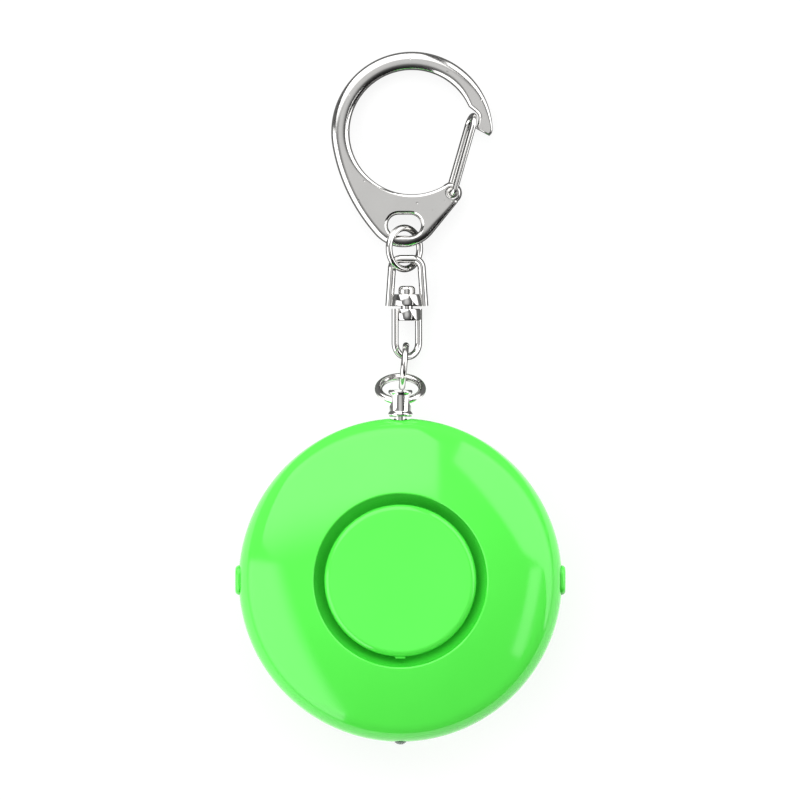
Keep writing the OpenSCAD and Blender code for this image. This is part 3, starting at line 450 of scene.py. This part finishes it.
def makeSirenCap():
    h, k = housing, capKey
    topZ = h["seamZ"] + domeHeight(h["frontH"], 0, h["grooveR"])
    under = topZ - h["grooveDepth"] + h["soundGap"]
    capR = h["grooveR"] - h["grooveW"]
    edge = arc((capR - h["capRound"], topZ - h["capRound"]), h["capRound"], 0, 90, 10)
    flat = [(r, topZ) for r in (capR - h["capFlat"], capR * 0.6, capR * 0.3, 0)]
    profile = [(0, under), (capR - h["capEase"], under), (capR, under + h["capEase"])] + edge + flat
    cap = revolve("sirenCap", profile, steps=h["steps"])
    near, far = -capR + k["back"], -capR - k["out"]
    outline = [(-k["halfW"], far), (k["halfW"], far), (k["halfW"], near), (-k["halfW"], near), (-k["halfW"], far)]
    tall = topZ - under - h["capRound"] * k["drop"]
    key = prism("key", outline, (0, 0, under * mm), (1, 0, 0), (0, 1, 0), (0, 0, tall))
    soften(key, k["edge"], 3)
    cut(cap, key, "UNION")
    smooth(cap)
    hand(cap, "polishedGreenAbs", "housing", "green_abs", "siren_cap")


buttonSet = {"flangeX": 25, "wallX": 29.75, "topX": 30.6, "edge": 0.7, "crown": 0.6, "steps": 7}


def makeButtons():
    o, s = openings, buttonSet
    rise = s["topX"] - s["wallX"]
    for sign, side in ((1, "right"), (-1, "left")):
        button = prism(side + "Button", stadium(o["buttonLen"], o["buttonH"], 0),
                       (sign * s["flangeX"] * mm, 0, housing["seamZ"] * mm), (0, 1, 0), (0, 0, 1),
                       (sign * (s["wallX"] - s["flangeX"]), 0, 0))
        selectOnly(button, "FACE", [max(button.data.polygons, key=lambda f: f.center.x * sign)])
        rim = arc((0, 0), 1, 0, 80, s["steps"])  # the front is inset step by step into a soft bump
        for (x0, y0), (x1, y1) in zip(rim, rim[1:]):
            bpy.ops.mesh.inset(thickness=(x0 - x1) * s["edge"] * mm, depth=(y1 - y0) * rise * mm)
        bpy.ops.mesh.inset(thickness=s["crown"] * mm, depth=(1 - rim[-1][1]) * rise * mm)
        bpy.ops.object.mode_set(mode="OBJECT")
        smooth(button, 50)
        hand(button, "polishedGreenAbs", side + "_button", "green_abs", side + "_button")


lens = {"r": 1.5, "flangeR": 1.9, "flangeT": 0.9, "baseY": 24.7, "tipY": 30.5}


def makeLamp():
    length = lens["tipY"] - lens["r"] - lens["baseY"]
    profile = [(0, 0), (lens["flangeR"], 0), (lens["flangeR"], lens["flangeT"]), (lens["r"], lens["flangeT"])]
    profile += arc((0, length), lens["r"], 0, 90, 14)
    lamp = revolve("torchLens", profile, (0, -lens["baseY"] * mm, housing["seamZ"] * mm), (0, -1, 0), steps=64)
    smooth(lamp)
    hand(lamp, "clearEpoxy", "housing", "clear_lens", "torch_led")


makeFrontShell()
makeRearShell()
makeSirenCap()
makeButtons()
makeLamp()
print("housing: shells, cap, buttons, lens")


# pull pin and chain

ferruleSet = {"endR": 2.325, "headR": 2.225, "waistR": 2.0, "length": 4.95, "collar": 0.45, "ease": 0.25,
              "lowFlare": 0.6, "highFlare": (1.0, 0.45), "flareSteps": 10, "eyeH": 3.1, "eyeR": 1.225, "eyeEase": 0.08,
              "socketR": 1.27, "socketH": 1.3, "reach": 4}


def makeFerrule(s):
    eye = jointPoint("pin_ring_swing")
    foot = eye - Vector((0, s["eyeH"] * mm, 0))
    end, head, waist, ease, top = s["endR"], s["headR"], s["waistR"], s["ease"], s["length"]
    steps = s["flareSteps"]

    def flare(fromH, toH, fromR, toR):  # eased curve between two radii
        return [(fromR + (toR - fromR) * (1 - math.cos(math.pi * i / steps)) / 2, fromH + (toH - fromH) * i / steps)
                for i in range(steps + 1)]
    profile = [(0, s["socketH"]), (s["socketR"], s["socketH"]), (s["socketR"], 0)]
    profile += [(end - ease, 0), (end - ease * 0.3, ease * 0.3), (end, ease)]
    profile += flare(s["collar"], s["collar"] + s["lowFlare"], end, waist)
    profile += flare(top - s["highFlare"][0], top - s["highFlare"][1], waist, head)
    profile += [(head, top - ease), (head - ease * 0.3, top - ease * 0.3), (head - ease, top), (0, top)]
    ferrule = revolve("pinFerrule", profile, foot, (0, 1, 0), steps=72)
    hole = prism("crossHole", arc((0, 0), s["eyeR"], 5, 365, 40), eye - Vector((s["reach"] * mm, 0, 0)), (0, 1, 0),
                 (0, 0, 1), (2 * s["reach"], 0, 0))
    cut(ferrule, hole)
    soften(ferrule, s["eyeEase"], 2, 50)
    smooth(ferrule)
    hand(ferrule, "nickelWire", "pull_pin", "chrome", "pin_ferrule")


def sweepWire(name, radius, start, way, moves, sides=28):  # a disc drawn along lines and turns
    clearSelection()
    way = Vector(way).normalized()
    bpy.ops.mesh.primitive_circle_add(vertices=sides, radius=radius * mm, fill_type="NGON", location=start,
                                      rotation=way.to_track_quat("Z", "Y").to_euler())
    piece = bpy.context.object
    piece.name = piece.data.name = name
    applyPlace(piece)
    editAll(piece, "FACE")
    for move in moves:
        if move[0] == "line":
            bpy.ops.mesh.extrude_region_move(TRANSFORM_OT_translate={"value": way * move[1] * mm})
        else:
            centre, axis, degrees, steps = move[1:]
            bpy.ops.mesh.spin(steps=steps, angle=-math.radians(degrees), center=centre, axis=axis)
            way = Matrix.Rotation(math.radians(degrees), 3, Vector(axis)) @ way
    closeUp()
    return piece


rings = {"pinRing": {"r": 4.05, "wire": 1.4, "splitAt": 20, "node": "pin_ring", "tilt": ("X", -56.6)},
         "linkRing": {"r": 3.85, "wire": 1.2, "splitAt": 0, "node": "link_ring", "tilt": ("Y", 90), "yaw": -5.6},
         "clipRing": {"r": 3.825, "wire": 1.25, "splitAt": -80, "node": "clip_ring", "tilt": ("Y", 42)}}
splitDeg = 3


def makeRings():
    for name, s in rings.items():
        low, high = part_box(s["node"])
        centre = (low + high) / 2
        turn = Matrix.Rotation(math.radians(s["tilt"][1]), 3, s["tilt"][0])
        turn = Matrix.Rotation(math.radians(s.get("yaw", 0)), 3, "Z") @ turn
        axis = turn @ Vector((0, 0, 1))
        first = math.radians(s["splitAt"] + splitDeg / 2)
        out = turn @ Vector((math.cos(first), math.sin(first), 0))
        ring = sweepWire(name, s["wire"] / 2, centre + out * s["r"] * mm, axis.cross(out),
                         [("turn", centre, axis, 360 - splitDeg, 120)])
        smooth(ring, 50)
        hand(ring, "nickelWire", s["node"], "chrome", s["node"])


swivel = {"eyeR": 2.85, "eyeWire": 1.3, "eyeLen": 8.85, "eyeCorner": 2.55, "eyeBaseR": 2.6, "turn": 40, "baseT": 2.2,
          "gap": 0.5, "bailHalf": 3.25, "bailWire": 1.5, "bailLen": 8.75, "bailCorner": 1.7, "bailLean": 4,
          "bailBaseR": 3.1, "bailTaper": 0.3, "baseEase": 0.3, "rivetR": 1.1, "rivetIn": 0.3, "headR": 1.55,
          "headH": 1.5, "headEase": 0.1, "crown": 0.7, "runningGap": 0.05}


def wireLoop(name, half, length, corner, lean, wire, origin, side, up):  # legs from the origin, round top
    side, up, origin = Vector(side), Vector(up), Vector(origin)
    axis = side.cross(up)
    a = math.radians(lean)
    rise = length - corner + corner * math.sin(a)
    topHalf = half - rise * math.tan(a) - corner * math.cos(a)
    way = up * math.cos(a) - side * math.sin(a)
    moves = [("line", rise / math.cos(a))]
    for sign in (1, -1):
        centre = origin + side * sign * topHalf * mm + up * (length - corner) * mm
        moves.append(("turn", centre, axis, 90 - lean, 16))
        if sign == 1 and topHalf > 0.01:
            moves.append(("line", 2 * topHalf))
    moves.append(("line", rise / math.cos(a)))
    return sweepWire(name, wire / 2, origin + side * half * mm, way, moves)


def easedBase(hole, r, topR, top, b):  # half section of a turned base with broken edges
    return [(hole, 0), (r - b, 0), (r - b * 0.3, b * 0.3), (r, b), (topR, top - b), (topR - b * 0.3, top - b * 0.3),
            (topR - b, top), (hole, top)]


def makeSwivel(s):
    pivot = jointPoint("swivel_turn")
    t = math.radians(s["turn"])
    side = Vector((math.cos(t), 0, -math.sin(t)))
    eyeTop = pivot - Vector((0, s["gap"] * mm, 0))
    eye = wireLoop("swivelEye", s["eyeR"], s["eyeLen"], s["eyeCorner"], 0, s["eyeWire"], eyeTop, side, (0, -1, 0))
    base = easedBase(0, s["eyeBaseR"], s["eyeBaseR"], s["baseT"], s["baseEase"])
    cut(eye, revolve("eyeBase", base, eyeTop, (0, -1, 0), steps=72), "UNION", "MANIFOLD")
    smooth(eye)
    hand(eye, "nickelWire", "swivel_eye", "chrome", "swivel_eye")
    bail = wireLoop("swivelBail", s["bailHalf"], s["bailLen"], s["bailCorner"], s["bailLean"], s["bailWire"], pivot,
                    (1, 0, 0), (0, 1, 0))
    hole = s["rivetR"] + s["runningGap"]
    base = easedBase(hole, s["bailBaseR"], s["bailBaseR"] - s["bailTaper"], s["baseT"], s["baseEase"]) + [(hole, 0)]
    cut(bail, revolve("bailBase", base, pivot, (0, 1, 0), steps=72), "UNION", "MANIFOLD")
    smooth(bail)
    hand(bail, "nickelWire", "swivel_bail", "chrome", "swivel_bail")
    seat, low, head, crown = s["baseT"] + s["runningGap"], -s["gap"] - s["rivetIn"], s["headR"], s["crown"]
    profile = [(0, low), (s["rivetR"], low), (s["rivetR"], seat)]
    profile += [(head - s["headEase"], seat), (head, seat + s["headEase"])]
    profile += arc((head - crown, seat + s["headH"] - crown), crown, 0, 90, 8) + [(0, seat + s["headH"])]
    rivet = revolve("swivelRivet", profile, pivot, (0, 1, 0), steps=56)
    smooth(rivet)
    hand(rivet, "nickelWire", "swivel_eye", "chrome", "swivel_rivet")


makeFerrule(ferruleSet)
makeRings()
makeSwivel(swivel)
print("chain: ferrule, rings, swivel")


# snap hook

clip = {"hookR": 15, "limb": 3.4, "thick": 2.4, "drop": 21.4, "footR": 7, "flankK": 2.24, "flankDeg": 190,
        "pitch": 2.8, "steps": (100, 20, 30, 12),  # hook, flank, foot, side
        "round": 1.65, "roundSteps": 10, "squash": 0.68, "mouthShare": 0.92, "plateShare": 0.4,
        "plateFrom": (190, 240),
        "noseShare": 0.55, "noseFrom": (26, 45), "noseTip": 12, "noseLeast": 0.3, "noseDip": (0.6, 0.18, 0.03),
        "noseDeg": -2.5, "noseInDeg": 3.7, "pocket": ((3.7, 0.25), (7, 0.7), (13, 1.15), (16, 1.05), (24, 0)),
        "earR": 2, "earDeg": -57.2, "earIn": 0.15, "earRound": 0.65, "earBack": 0.55, "earProud": 0.01,
        "earFade": (2.2, 10), "earReach": 8, "plateTurn": (225, 296), "slotW": 6.2, "slotH": 4, "slotShift": 0.2,
        "slotEase": (0.65, 0.6), "slotFlat": 1.6, "slotSteps": 6, "slotReach": 2, "barW": 2.1,
        "wire": 1.1, "bend": 0.8, "lean": 15, "tipDeg": 15, "tipGap": 0.4, "legGap": 0.06, "endGap": 0.2,
        "holeGap": 0.15, "holeReach": 4}


def polar(r, degrees):
    return Vector((r * math.cos(math.radians(degrees)), r * math.sin(math.radians(degrees))))


def clipShape(s):  # the outline's centres and angles, about the hook's centre
    mouthR = s["hookR"] - s["limb"]
    flankR = s["flankK"] * s["hookR"]
    flankC = -polar(flankR - s["hookR"], s["flankDeg"])
    footDeg = math.degrees(math.asin((s["footR"] - s["drop"] - flankC.y) / (flankR - s["footR"])))
    footC = flankC + polar(flankR - s["footR"], 180 - footDeg)
    earC = polar(mouthR + s["earR"] - s["earIn"], s["earDeg"])
    way = earC - footC
    sideDeg = math.degrees(math.atan2(way.y, way.x) - math.acos((s["footR"] - s["earR"]) / way.length))
    return mouthR, flankR, flankC, footC, 180 - footDeg, earC, sideDeg


def pocketDepth(steps, a):
    if a >= steps[-1][0]:
        return 0
    for (a0, d0), (a1, d1) in zip(steps, steps[1:]):
        if a <= a1:
            return d0 + (d1 - d0) * max(0, a - a0) / (a1 - a0)
    return 0


def strip(name, outer, inner, origin, along):  # two lines bridged into a band, then drawn out to a thickness
    lines = []
    for points in (inner, outer):
        lines.append(drawLine(name, [Vector(origin) + Vector((x, y, 0)) * mm for x, y in points]))
        bpy.ops.object.mode_set(mode="OBJECT")
    clearSelection()
    for line in lines:
        line.select_set(True)
    bpy.context.view_layer.objects.active = lines[1]
    bpy.ops.object.join()
    lines[1].name = lines[1].data.name = name
    editAll(lines[1], "EDGE")
    bpy.ops.mesh.bridge_edge_loops()
    bpy.ops.mesh.select_all(action="SELECT")
    bpy.ops.mesh.extrude_region_move(TRANSFORM_OT_translate={"value": Vector(along) * mm})
    closeUp()
    return lines[1]


def makeGate(s, earC):
    mouthR = s["hookR"] - s["limb"]
    tip = polar(mouthR + s["pocket"][2][1] - s["wire"] / 2 - s["tipGap"], s["tipDeg"])
    way2 = tip - earC
    up = Vector((way2.x, way2.y, 0)).normalized()
    across = Vector((0, 0, 1)).cross(up)  # points away from the nose
    tilt = Matrix.Rotation(math.radians(s["lean"]), 3, up)
    axis = tilt @ Vector((0, 0, 1))
    leg = s["thick"] / 2 + s["bend"] + s["legGap"]
    straight = way2.length - leg - s["bend"]
    pivot = Vector((earC.x, earC.y, 0)) * mm
    side = axis.cross(up)
    moves = [("line", leg - s["bend"] - s["endGap"]),
             ("turn", pivot + (axis * (leg - s["bend"]) + up * s["bend"]) * mm, side, 90, 10),
             ("line", straight),
             ("turn", pivot + up * (s["bend"] + straight) * mm, side, 180, 28),
             ("line", straight),
             ("turn", pivot + (-axis * (leg - s["bend"]) + up * s["bend"]) * mm, side, 90, 10),
             ("line", leg - s["bend"] - s["endGap"])]
    gate = sweepWire("clipGate", s["wire"] / 2, pivot + axis * s["endGap"] * mm, axis, moves)
    hole = prism("gateHole", arc((0, 0), s["wire"] / 2 + s["holeGap"], 5, 365, 32),
                 pivot - axis * s["holeReach"] * mm, up, side, axis * 2 * s["holeReach"])
    return gate, hole


def makeClip(s):
    mouthR, flankR, flankC, footC, flankEnd, earC, sideDeg = clipShape(s)
    hookSteps, flankSteps, footSteps, sideSteps = s["steps"]
    outer = arc((0, 0), s["hookR"], s["noseDeg"], s["flankDeg"], hookSteps)
    for i, dip in enumerate(s["noseDip"]):  # the nose's outer corner is blunt
        outer[i] = tuple(Vector(outer[i]) * (1 - dip / s["hookR"]))
    outer += arc(flankC, flankR, s["flankDeg"], flankEnd, flankSteps)[1:]
    outer += arc(footC, s["footR"], flankEnd, 360 + sideDeg, footSteps)[1:]
    last, end = Vector(outer[-1]), earC + polar(s["earR"], sideDeg)
    end += (last - end).normalized() * s["earBack"]  # the band stops inside the ear, clear of its hole
    outer += [tuple(last + (end - last) * i / sideSteps) for i in range(1, sideSteps + 1)]
    inner, half, back = [], hookSteps // 2, s["pocket"][-1][0]
    for i, (x, y) in enumerate(outer):
        a = math.degrees(math.atan2(y, x))
        a = a + 360 if i > half and a < 0 else a
        if a < back and i < half:  # the nose's end slants
            a = back - (back - a) * (back - s["noseInDeg"]) / (back - s["noseDeg"])
        inner.append(tuple(polar(mouthR + pocketDepth(s["pocket"], a), a)))
    tall = s["thick"] / s["squash"]  # shaped tall, then pressed, so the edges come out elliptical
    body = strip("clipBody", outer, inner, (0, 0, -tall / 2 * mm), (0, 0, tall))
    roundEdges(body, s, earC)
    body.scale = (1, 1, s["squash"])
    applyPlace(body)
    slotC = Vector((footC.x + s["slotShift"], -s["drop"] + s["barW"] + s["slotH"] / 2))
    cutSlot(body, s, slotC)
    gate, hole = makeGate(s, earC)
    r, e, half = s["earR"], s["earRound"], s["thick"] / 2 + s["earProud"]
    rim = arc((0, 0), 1, -90, 90, 16)
    profile = [(0, -half)] + [(r - e + e * x, half * y) for x, y in rim] + [(0, half)]
    ear = revolve("ear", profile, (earC.x * mm, earC.y * mm, 0), steps=72)
    cut(ear, hole)
    cut(body, ear, "UNION", "MANIFOLD")
    smooth(body, 40)
    selectOnly(body, "FACE", [f for f in body.data.polygons if isLevel(f)])
    bpy.ops.mesh.faces_shade_flat()
    bpy.ops.object.mode_set(mode="OBJECT")
    weighNormals(body)
    return body, gate


def turnOf(point):  # degrees round the hook
    return math.degrees(math.atan2(point.y, point.x)) % 360


def isLevel(face):
    return abs(face.normal.z) > 0.9999


def cutSlot(body, s, slotC):
    low, high = s["plateTurn"]
    plate = [f for f in body.data.polygons if isLevel(f) and low < turnOf(f.center) < high]
    selectOnly(body, "FACE", plate)
    bpy.ops.mesh.dissolve_faces()  # one clean face each side
    bpy.ops.object.mode_set(mode="OBJECT")
    half, reach, (wide, deep) = s["thick"] / 2, s["slotReach"], s["slotEase"]
    slot = prism("slotCutter", stadium(s["slotW"], s["slotH"], wide), (slotC.x * mm, slotC.y * mm, reach * mm),
                 (1, 0, 0), (0, 1, 0), (0, 0, half - reach))
    selectOnly(slot, "FACE", [min(slot.data.polygons, key=lambda f: f.center.z)])
    turns = [math.radians(90 * i / s["slotSteps"]) for i in range(s["slotSteps"] + 1)]
    ease = [(math.sin(a) ** s["slotFlat"], math.cos(a) ** s["slotFlat"]) for a in turns]
    for (x0, y0), (x1, y1) in zip(ease, ease[1:]):  # the cutter narrows into the slot, so the rim comes out eased
        bpy.ops.mesh.inset(thickness=(x1 - x0) * wide * mm, depth=(y0 - y1) * deep * mm)
    bpy.ops.mesh.extrude_region_move(TRANSFORM_OT_translate={"value": (0, 0, (deep - half) * mm)})
    bpy.ops.mesh.delete(type="ONLY_FACE")
    bpy.ops.object.mode_set(mode="OBJECT")
    bpy.ops.object.modifier_add(type="MIRROR")
    twin = slot.modifiers[-1]
    twin.use_axis = (False, False, True)
    twin.merge_threshold = 5e-6
    bpy.ops.object.modifier_apply(modifier=twin.name)
    cut(body, slot, solver="MANIFOLD")


def part01(value, low, high):  # how far along from low to high, 0 to 1
    return min(1, max(0, (value - low) / (high - low)))


def roundEdges(body, s, earC):  # each rim edge gets its own share of the widest round
    mesh = body.data
    mouthR = s["hookR"] - s["limb"]
    sides = {}
    for face in mesh.polygons:
        for key in face.edge_keys:
            sides.setdefault(key, []).append(abs(face.normal.z))
    shares = []
    for edge in mesh.edges:
        normals = sides[tuple(sorted(edge.vertices))]
        spot = sum((mesh.vertices[i].co for i in edge.vertices), Vector()) / 2 / mm
        flat = Vector((spot.x, spot.y))
        turn = turnOf(flat)
        share = 1
        if flat.length < mouthR + s["limb"] / 2:  # along the mouth, less beside the plate
            share = s["mouthShare"] + (s["plateShare"] - s["mouthShare"]) * part01(turn, *s["plateFrom"])
        near = (turn + 10) % 360 - 10  # degrees from the nose
        if near < s["noseFrom"][1]:
            share *= (s["noseShare"] * min(1, max(s["noseLeast"], near / s["noseTip"]))
                      + (1 - s["noseShare"]) * part01(near, *s["noseFrom"]))
        fromEar = (flat - earC).length
        if fromEar < s["earReach"]:
            share = min(share, s["earRound"] / s["round"] + max(0, fromEar - s["earFade"][0]) / s["earFade"][1])
        rim = min(normals) < 0.5 and max(normals) > 0.9
        shares.append(share if rim else 0)
    mesh.attributes.new("bevel_weight_edge", "FLOAT", "EDGE").data.foreach_set("value", shares)
    clearSelection()
    bpy.context.view_layer.objects.active = body
    body.select_set(True)
    bpy.ops.object.modifier_add(type="BEVEL")
    change = body.modifiers[-1]
    change.limit_method = "WEIGHT"
    change.width = s["round"] * mm
    change.segments = s["roundSteps"]
    change.use_clamp_overlap = False
    bpy.ops.object.modifier_apply(modifier=change.name)


def placeOnClip(piece, s):
    piece.rotation_euler = (-math.radians(s["pitch"]), 0, 0)
    piece.location = mounts["clip_mouth"]["pos_m"]
    applyPlace(piece)


clipBody, clipGate = makeClip(clip)
smooth(clipGate)
placeOnClip(clipBody, clip)
placeOnClip(clipGate, clip)
hand(clipBody, "nickelCasting", "clip_body", "chrome", "clip_body")
hand(clipGate, "nickelWire", "clip_gate", "chrome", "clip_gate")
print("snap hook: body, gate")


# table and studio light

table = {"size": 6, "below": 0.01, "bounceHex": "E8E8E8", "cameraHex": "7A7A7A", "cameraGlow": 0.84,
         "mirrorHex": "707070", "mirrorGlow": (1.3, 0), "mirrorShadowFrom": (29, 35)}


def makeFloor(s):
    clearSelection()
    bpy.ops.mesh.primitive_plane_add(size=s["size"], location=(0, 0, cadBox[0][2] - s["below"] * mm))
    floor = bpy.context.object
    floor.name = "tableTop"
    material = bpy.data.materials.new("whiteTable")
    material.use_nodes = True
    tree = material.node_tree
    tree.nodes.clear()
    path = addNode(tree, "ShaderNodeLightPath").outputs
    mirrored = addNode(tree, "ShaderNodeMath", None, {0: path["Is Glossy Ray"], 1: path["Is Transmission Ray"]},
                       operation="MAXIMUM").outputs[0]
    # white to the camera and plain paper to light that bounces; mirrors and lenses see it bright round the body
    # and grey under the chain, a painted shadow of the chain that only reflections show; all three keep the shadow
    mix = addNode(tree, "ShaderNodeBsdfDiffuse", {"Color": linear(s["bounceHex"])})
    place = addNode(tree, "ShaderNodeTexCoord").outputs["Object"]
    up = addNode(tree, "ShaderNodeSeparateXYZ", None, {"Vector": place}).outputs["Y"]
    (bright, grey), (start, end) = s["mirrorGlow"], s["mirrorShadowFrom"]
    # painted shadow: the glow that mirrors see fades from bright round the body to none under the chain
    mirrorShadow = addNode(tree, "ShaderNodeMapRange", {"From Min": start * mm, "From Max": end * mm, "To Min": bright,
                                                "To Max": grey}, {"Value": up}).outputs["Result"]
    looks = ((s["mirrorHex"], None, {"Strength": mirrorShadow}, mirrored),
             (s["cameraHex"], {"Strength": s["cameraGlow"]}, None, path["Is Camera Ray"]))
    for shade, values, links, seen in looks:
        paper = addNode(tree, "ShaderNodeBsdfDiffuse", {"Color": linear(shade)})
        light = addNode(tree, "ShaderNodeEmission", values, links)
        white = addNode(tree, "ShaderNodeAddShader", None, {0: paper.outputs[0], 1: light.outputs[0]})
        mix = addNode(tree, "ShaderNodeMixShader", None, {0: seen, 1: mix.outputs[0], 2: white.outputs[0]})
    addNode(tree, "ShaderNodeOutputMaterial", None, {"Surface": mix.outputs[0]})
    floor.data.materials.append(material)


# brightness of the bare studio by height, and its light panels: where each hangs (azimuth, degrees from overhead,
# roll), its sides and its lower and upper edges as slopes from its middle, how soft those are, and its brightness
studio = {"heights": ((0.0, 0.12), (0.1, 0.06), (0.45, 0.06), (0.8, 0.1), (0.94, 0.35), (0.985, 0.86), (1.0, 0.88)),
          "brightSide": (-0.6, 0.6, 0), "sideSpan": 0.7, "sideRange": (0.35, 1.9),
          "topPanel": {"at": (110, 50, 9), "across": (-0.49, 0.72), "low": (-0.95, -0.45), "high": (0.3, 0.75),
                       "soft": 0.02, "glow": 3.0},
          "leftPanel": {"at": (200, 90, 0), "across": (-0.51, 1.11), "low": (-0.1, 0.35), "high": (1.2, 1.5),
                        "soft": 0.03, "glow": 3.1},
          "rightPanel": {"at": (37, 90, 0), "across": (-1.5, 0.55), "low": (-0.1, 0.35), "high": (1.27, 1.32),
                         "corner": (0.9, 1.72), "soft": 0.02, "glow": 3.0},
          "slimPanel": {"at": (-12, 90, 0), "across": (-0.4, 0.3), "low": (1.0, 1.02), "high": (1.14, 1.17),
                        "soft": 0.02, "glow": 2.8}}


def panelGlow(tree, way, s):
    azimuth, lean, roll = (math.radians(v) for v in s["at"])
    n = Vector((math.sin(lean) * math.cos(azimuth), math.sin(lean) * math.sin(azimuth), math.cos(lean)))
    side = Vector((-math.sin(azimuth), math.cos(azimuth), 0))
    turn = Matrix.Rotation(-roll, 3, n)
    axes = {"front": n, "across": turn @ side, "up": turn @ n.cross(side)}
    dots = {name: addNode(tree, "ShaderNodeVectorMath", {1: axis}, {0: way}, operation="DOT_PRODUCT").outputs["Value"]
            for name, axis in axes.items()}
    across, up = (addNode(tree, "ShaderNodeMath", None, {0: dots[name], 1: dots["front"]},
                          operation="DIVIDE").outputs[0] for name in ("across", "up"))
    left, right, soft = s["across"][0], s["across"][1], s["soft"]
    edges = [(across, left - soft, left + soft), (across, right + soft, right - soft), (up, *s["low"]),
             (up, s["high"][1], s["high"][0]), (dots["front"], 0.02, 0.05)]
    if "corner" in s:  # the upper right corner is cut off along a slope
        slant = addNode(tree, "ShaderNodeMath", {1: -s["corner"][0]}, {0: across, 2: up},
                        operation="MULTIPLY_ADD").outputs[0]
        edges.append((slant, s["corner"][1] + soft, s["corner"][1] - soft))
    glow = None
    for value, dark, lit in edges:
        edge = addNode(tree, "ShaderNodeMapRange", {"From Min": dark, "From Max": lit}, {"Value": value},
                       interpolation_type="SMOOTHSTEP").outputs["Result"]
        glow = edge if glow is None else addNode(tree, "ShaderNodeMath", None, {0: glow, 1: edge},
                                                 operation="MULTIPLY").outputs[0]
    return glow


def makeWorld():
    world = bpy.data.worlds.new("studio")
    bpy.context.scene.world = world
    world.use_nodes = True
    tree = world.node_tree
    tree.nodes.clear()
    way = addNode(tree, "ShaderNodeTexCoord").outputs["Generated"]
    height = addNode(tree, "ShaderNodeSeparateXYZ", None, {"Vector": way}).outputs["Z"]
    ramp = addNode(tree, "ShaderNodeValToRGB", None, {"Fac": height})
    stops = studio["heights"]
    while len(ramp.color_ramp.elements) < len(stops):
        ramp.color_ramp.elements.new(0.5)
    for element, (place, tone) in zip(ramp.color_ramp.elements, stops):
        element.position = place
        element.color = (tone, tone, tone, 1)
    toward = addNode(tree, "ShaderNodeVectorMath", {1: studio["brightSide"]}, {0: way}, operation="DOT_PRODUCT")
    span, (shady, bright) = studio["sideSpan"], studio["sideRange"]
    slope = addNode(tree, "ShaderNodeMapRange", {"From Min": -span, "From Max": span, "To Min": shady,
                                                 "To Max": bright}, {"Value": toward.outputs["Value"]})
    light = addNode(tree, "ShaderNodeMath", None, {0: ramp.outputs["Color"], 1: slope.outputs["Result"]},
                    operation="MULTIPLY").outputs[0]
    for name in ("topPanel", "leftPanel", "rightPanel", "slimPanel"):
        glow = panelGlow(tree, way, studio[name])
        light = addNode(tree, "ShaderNodeMath", {1: studio[name]["glow"]}, {0: glow, 2: light},
                        operation="MULTIPLY_ADD").outputs[0]
    seen = addNode(tree, "ShaderNodeLightPath").outputs["Is Camera Ray"]
    light = addNode(tree, "ShaderNodeMix", {3: 1}, {0: seen, 2: light}).outputs[0]  # the camera sees plain white
    back = addNode(tree, "ShaderNodeBackground", None, {"Strength": light})
    addNode(tree, "ShaderNodeOutputWorld", None, {"Surface": back.outputs[0]})


makeFloor(table)
makeWorld()
bpy.context.scene.view_settings.view_transform = "Standard"
print("stage: table, studio light")
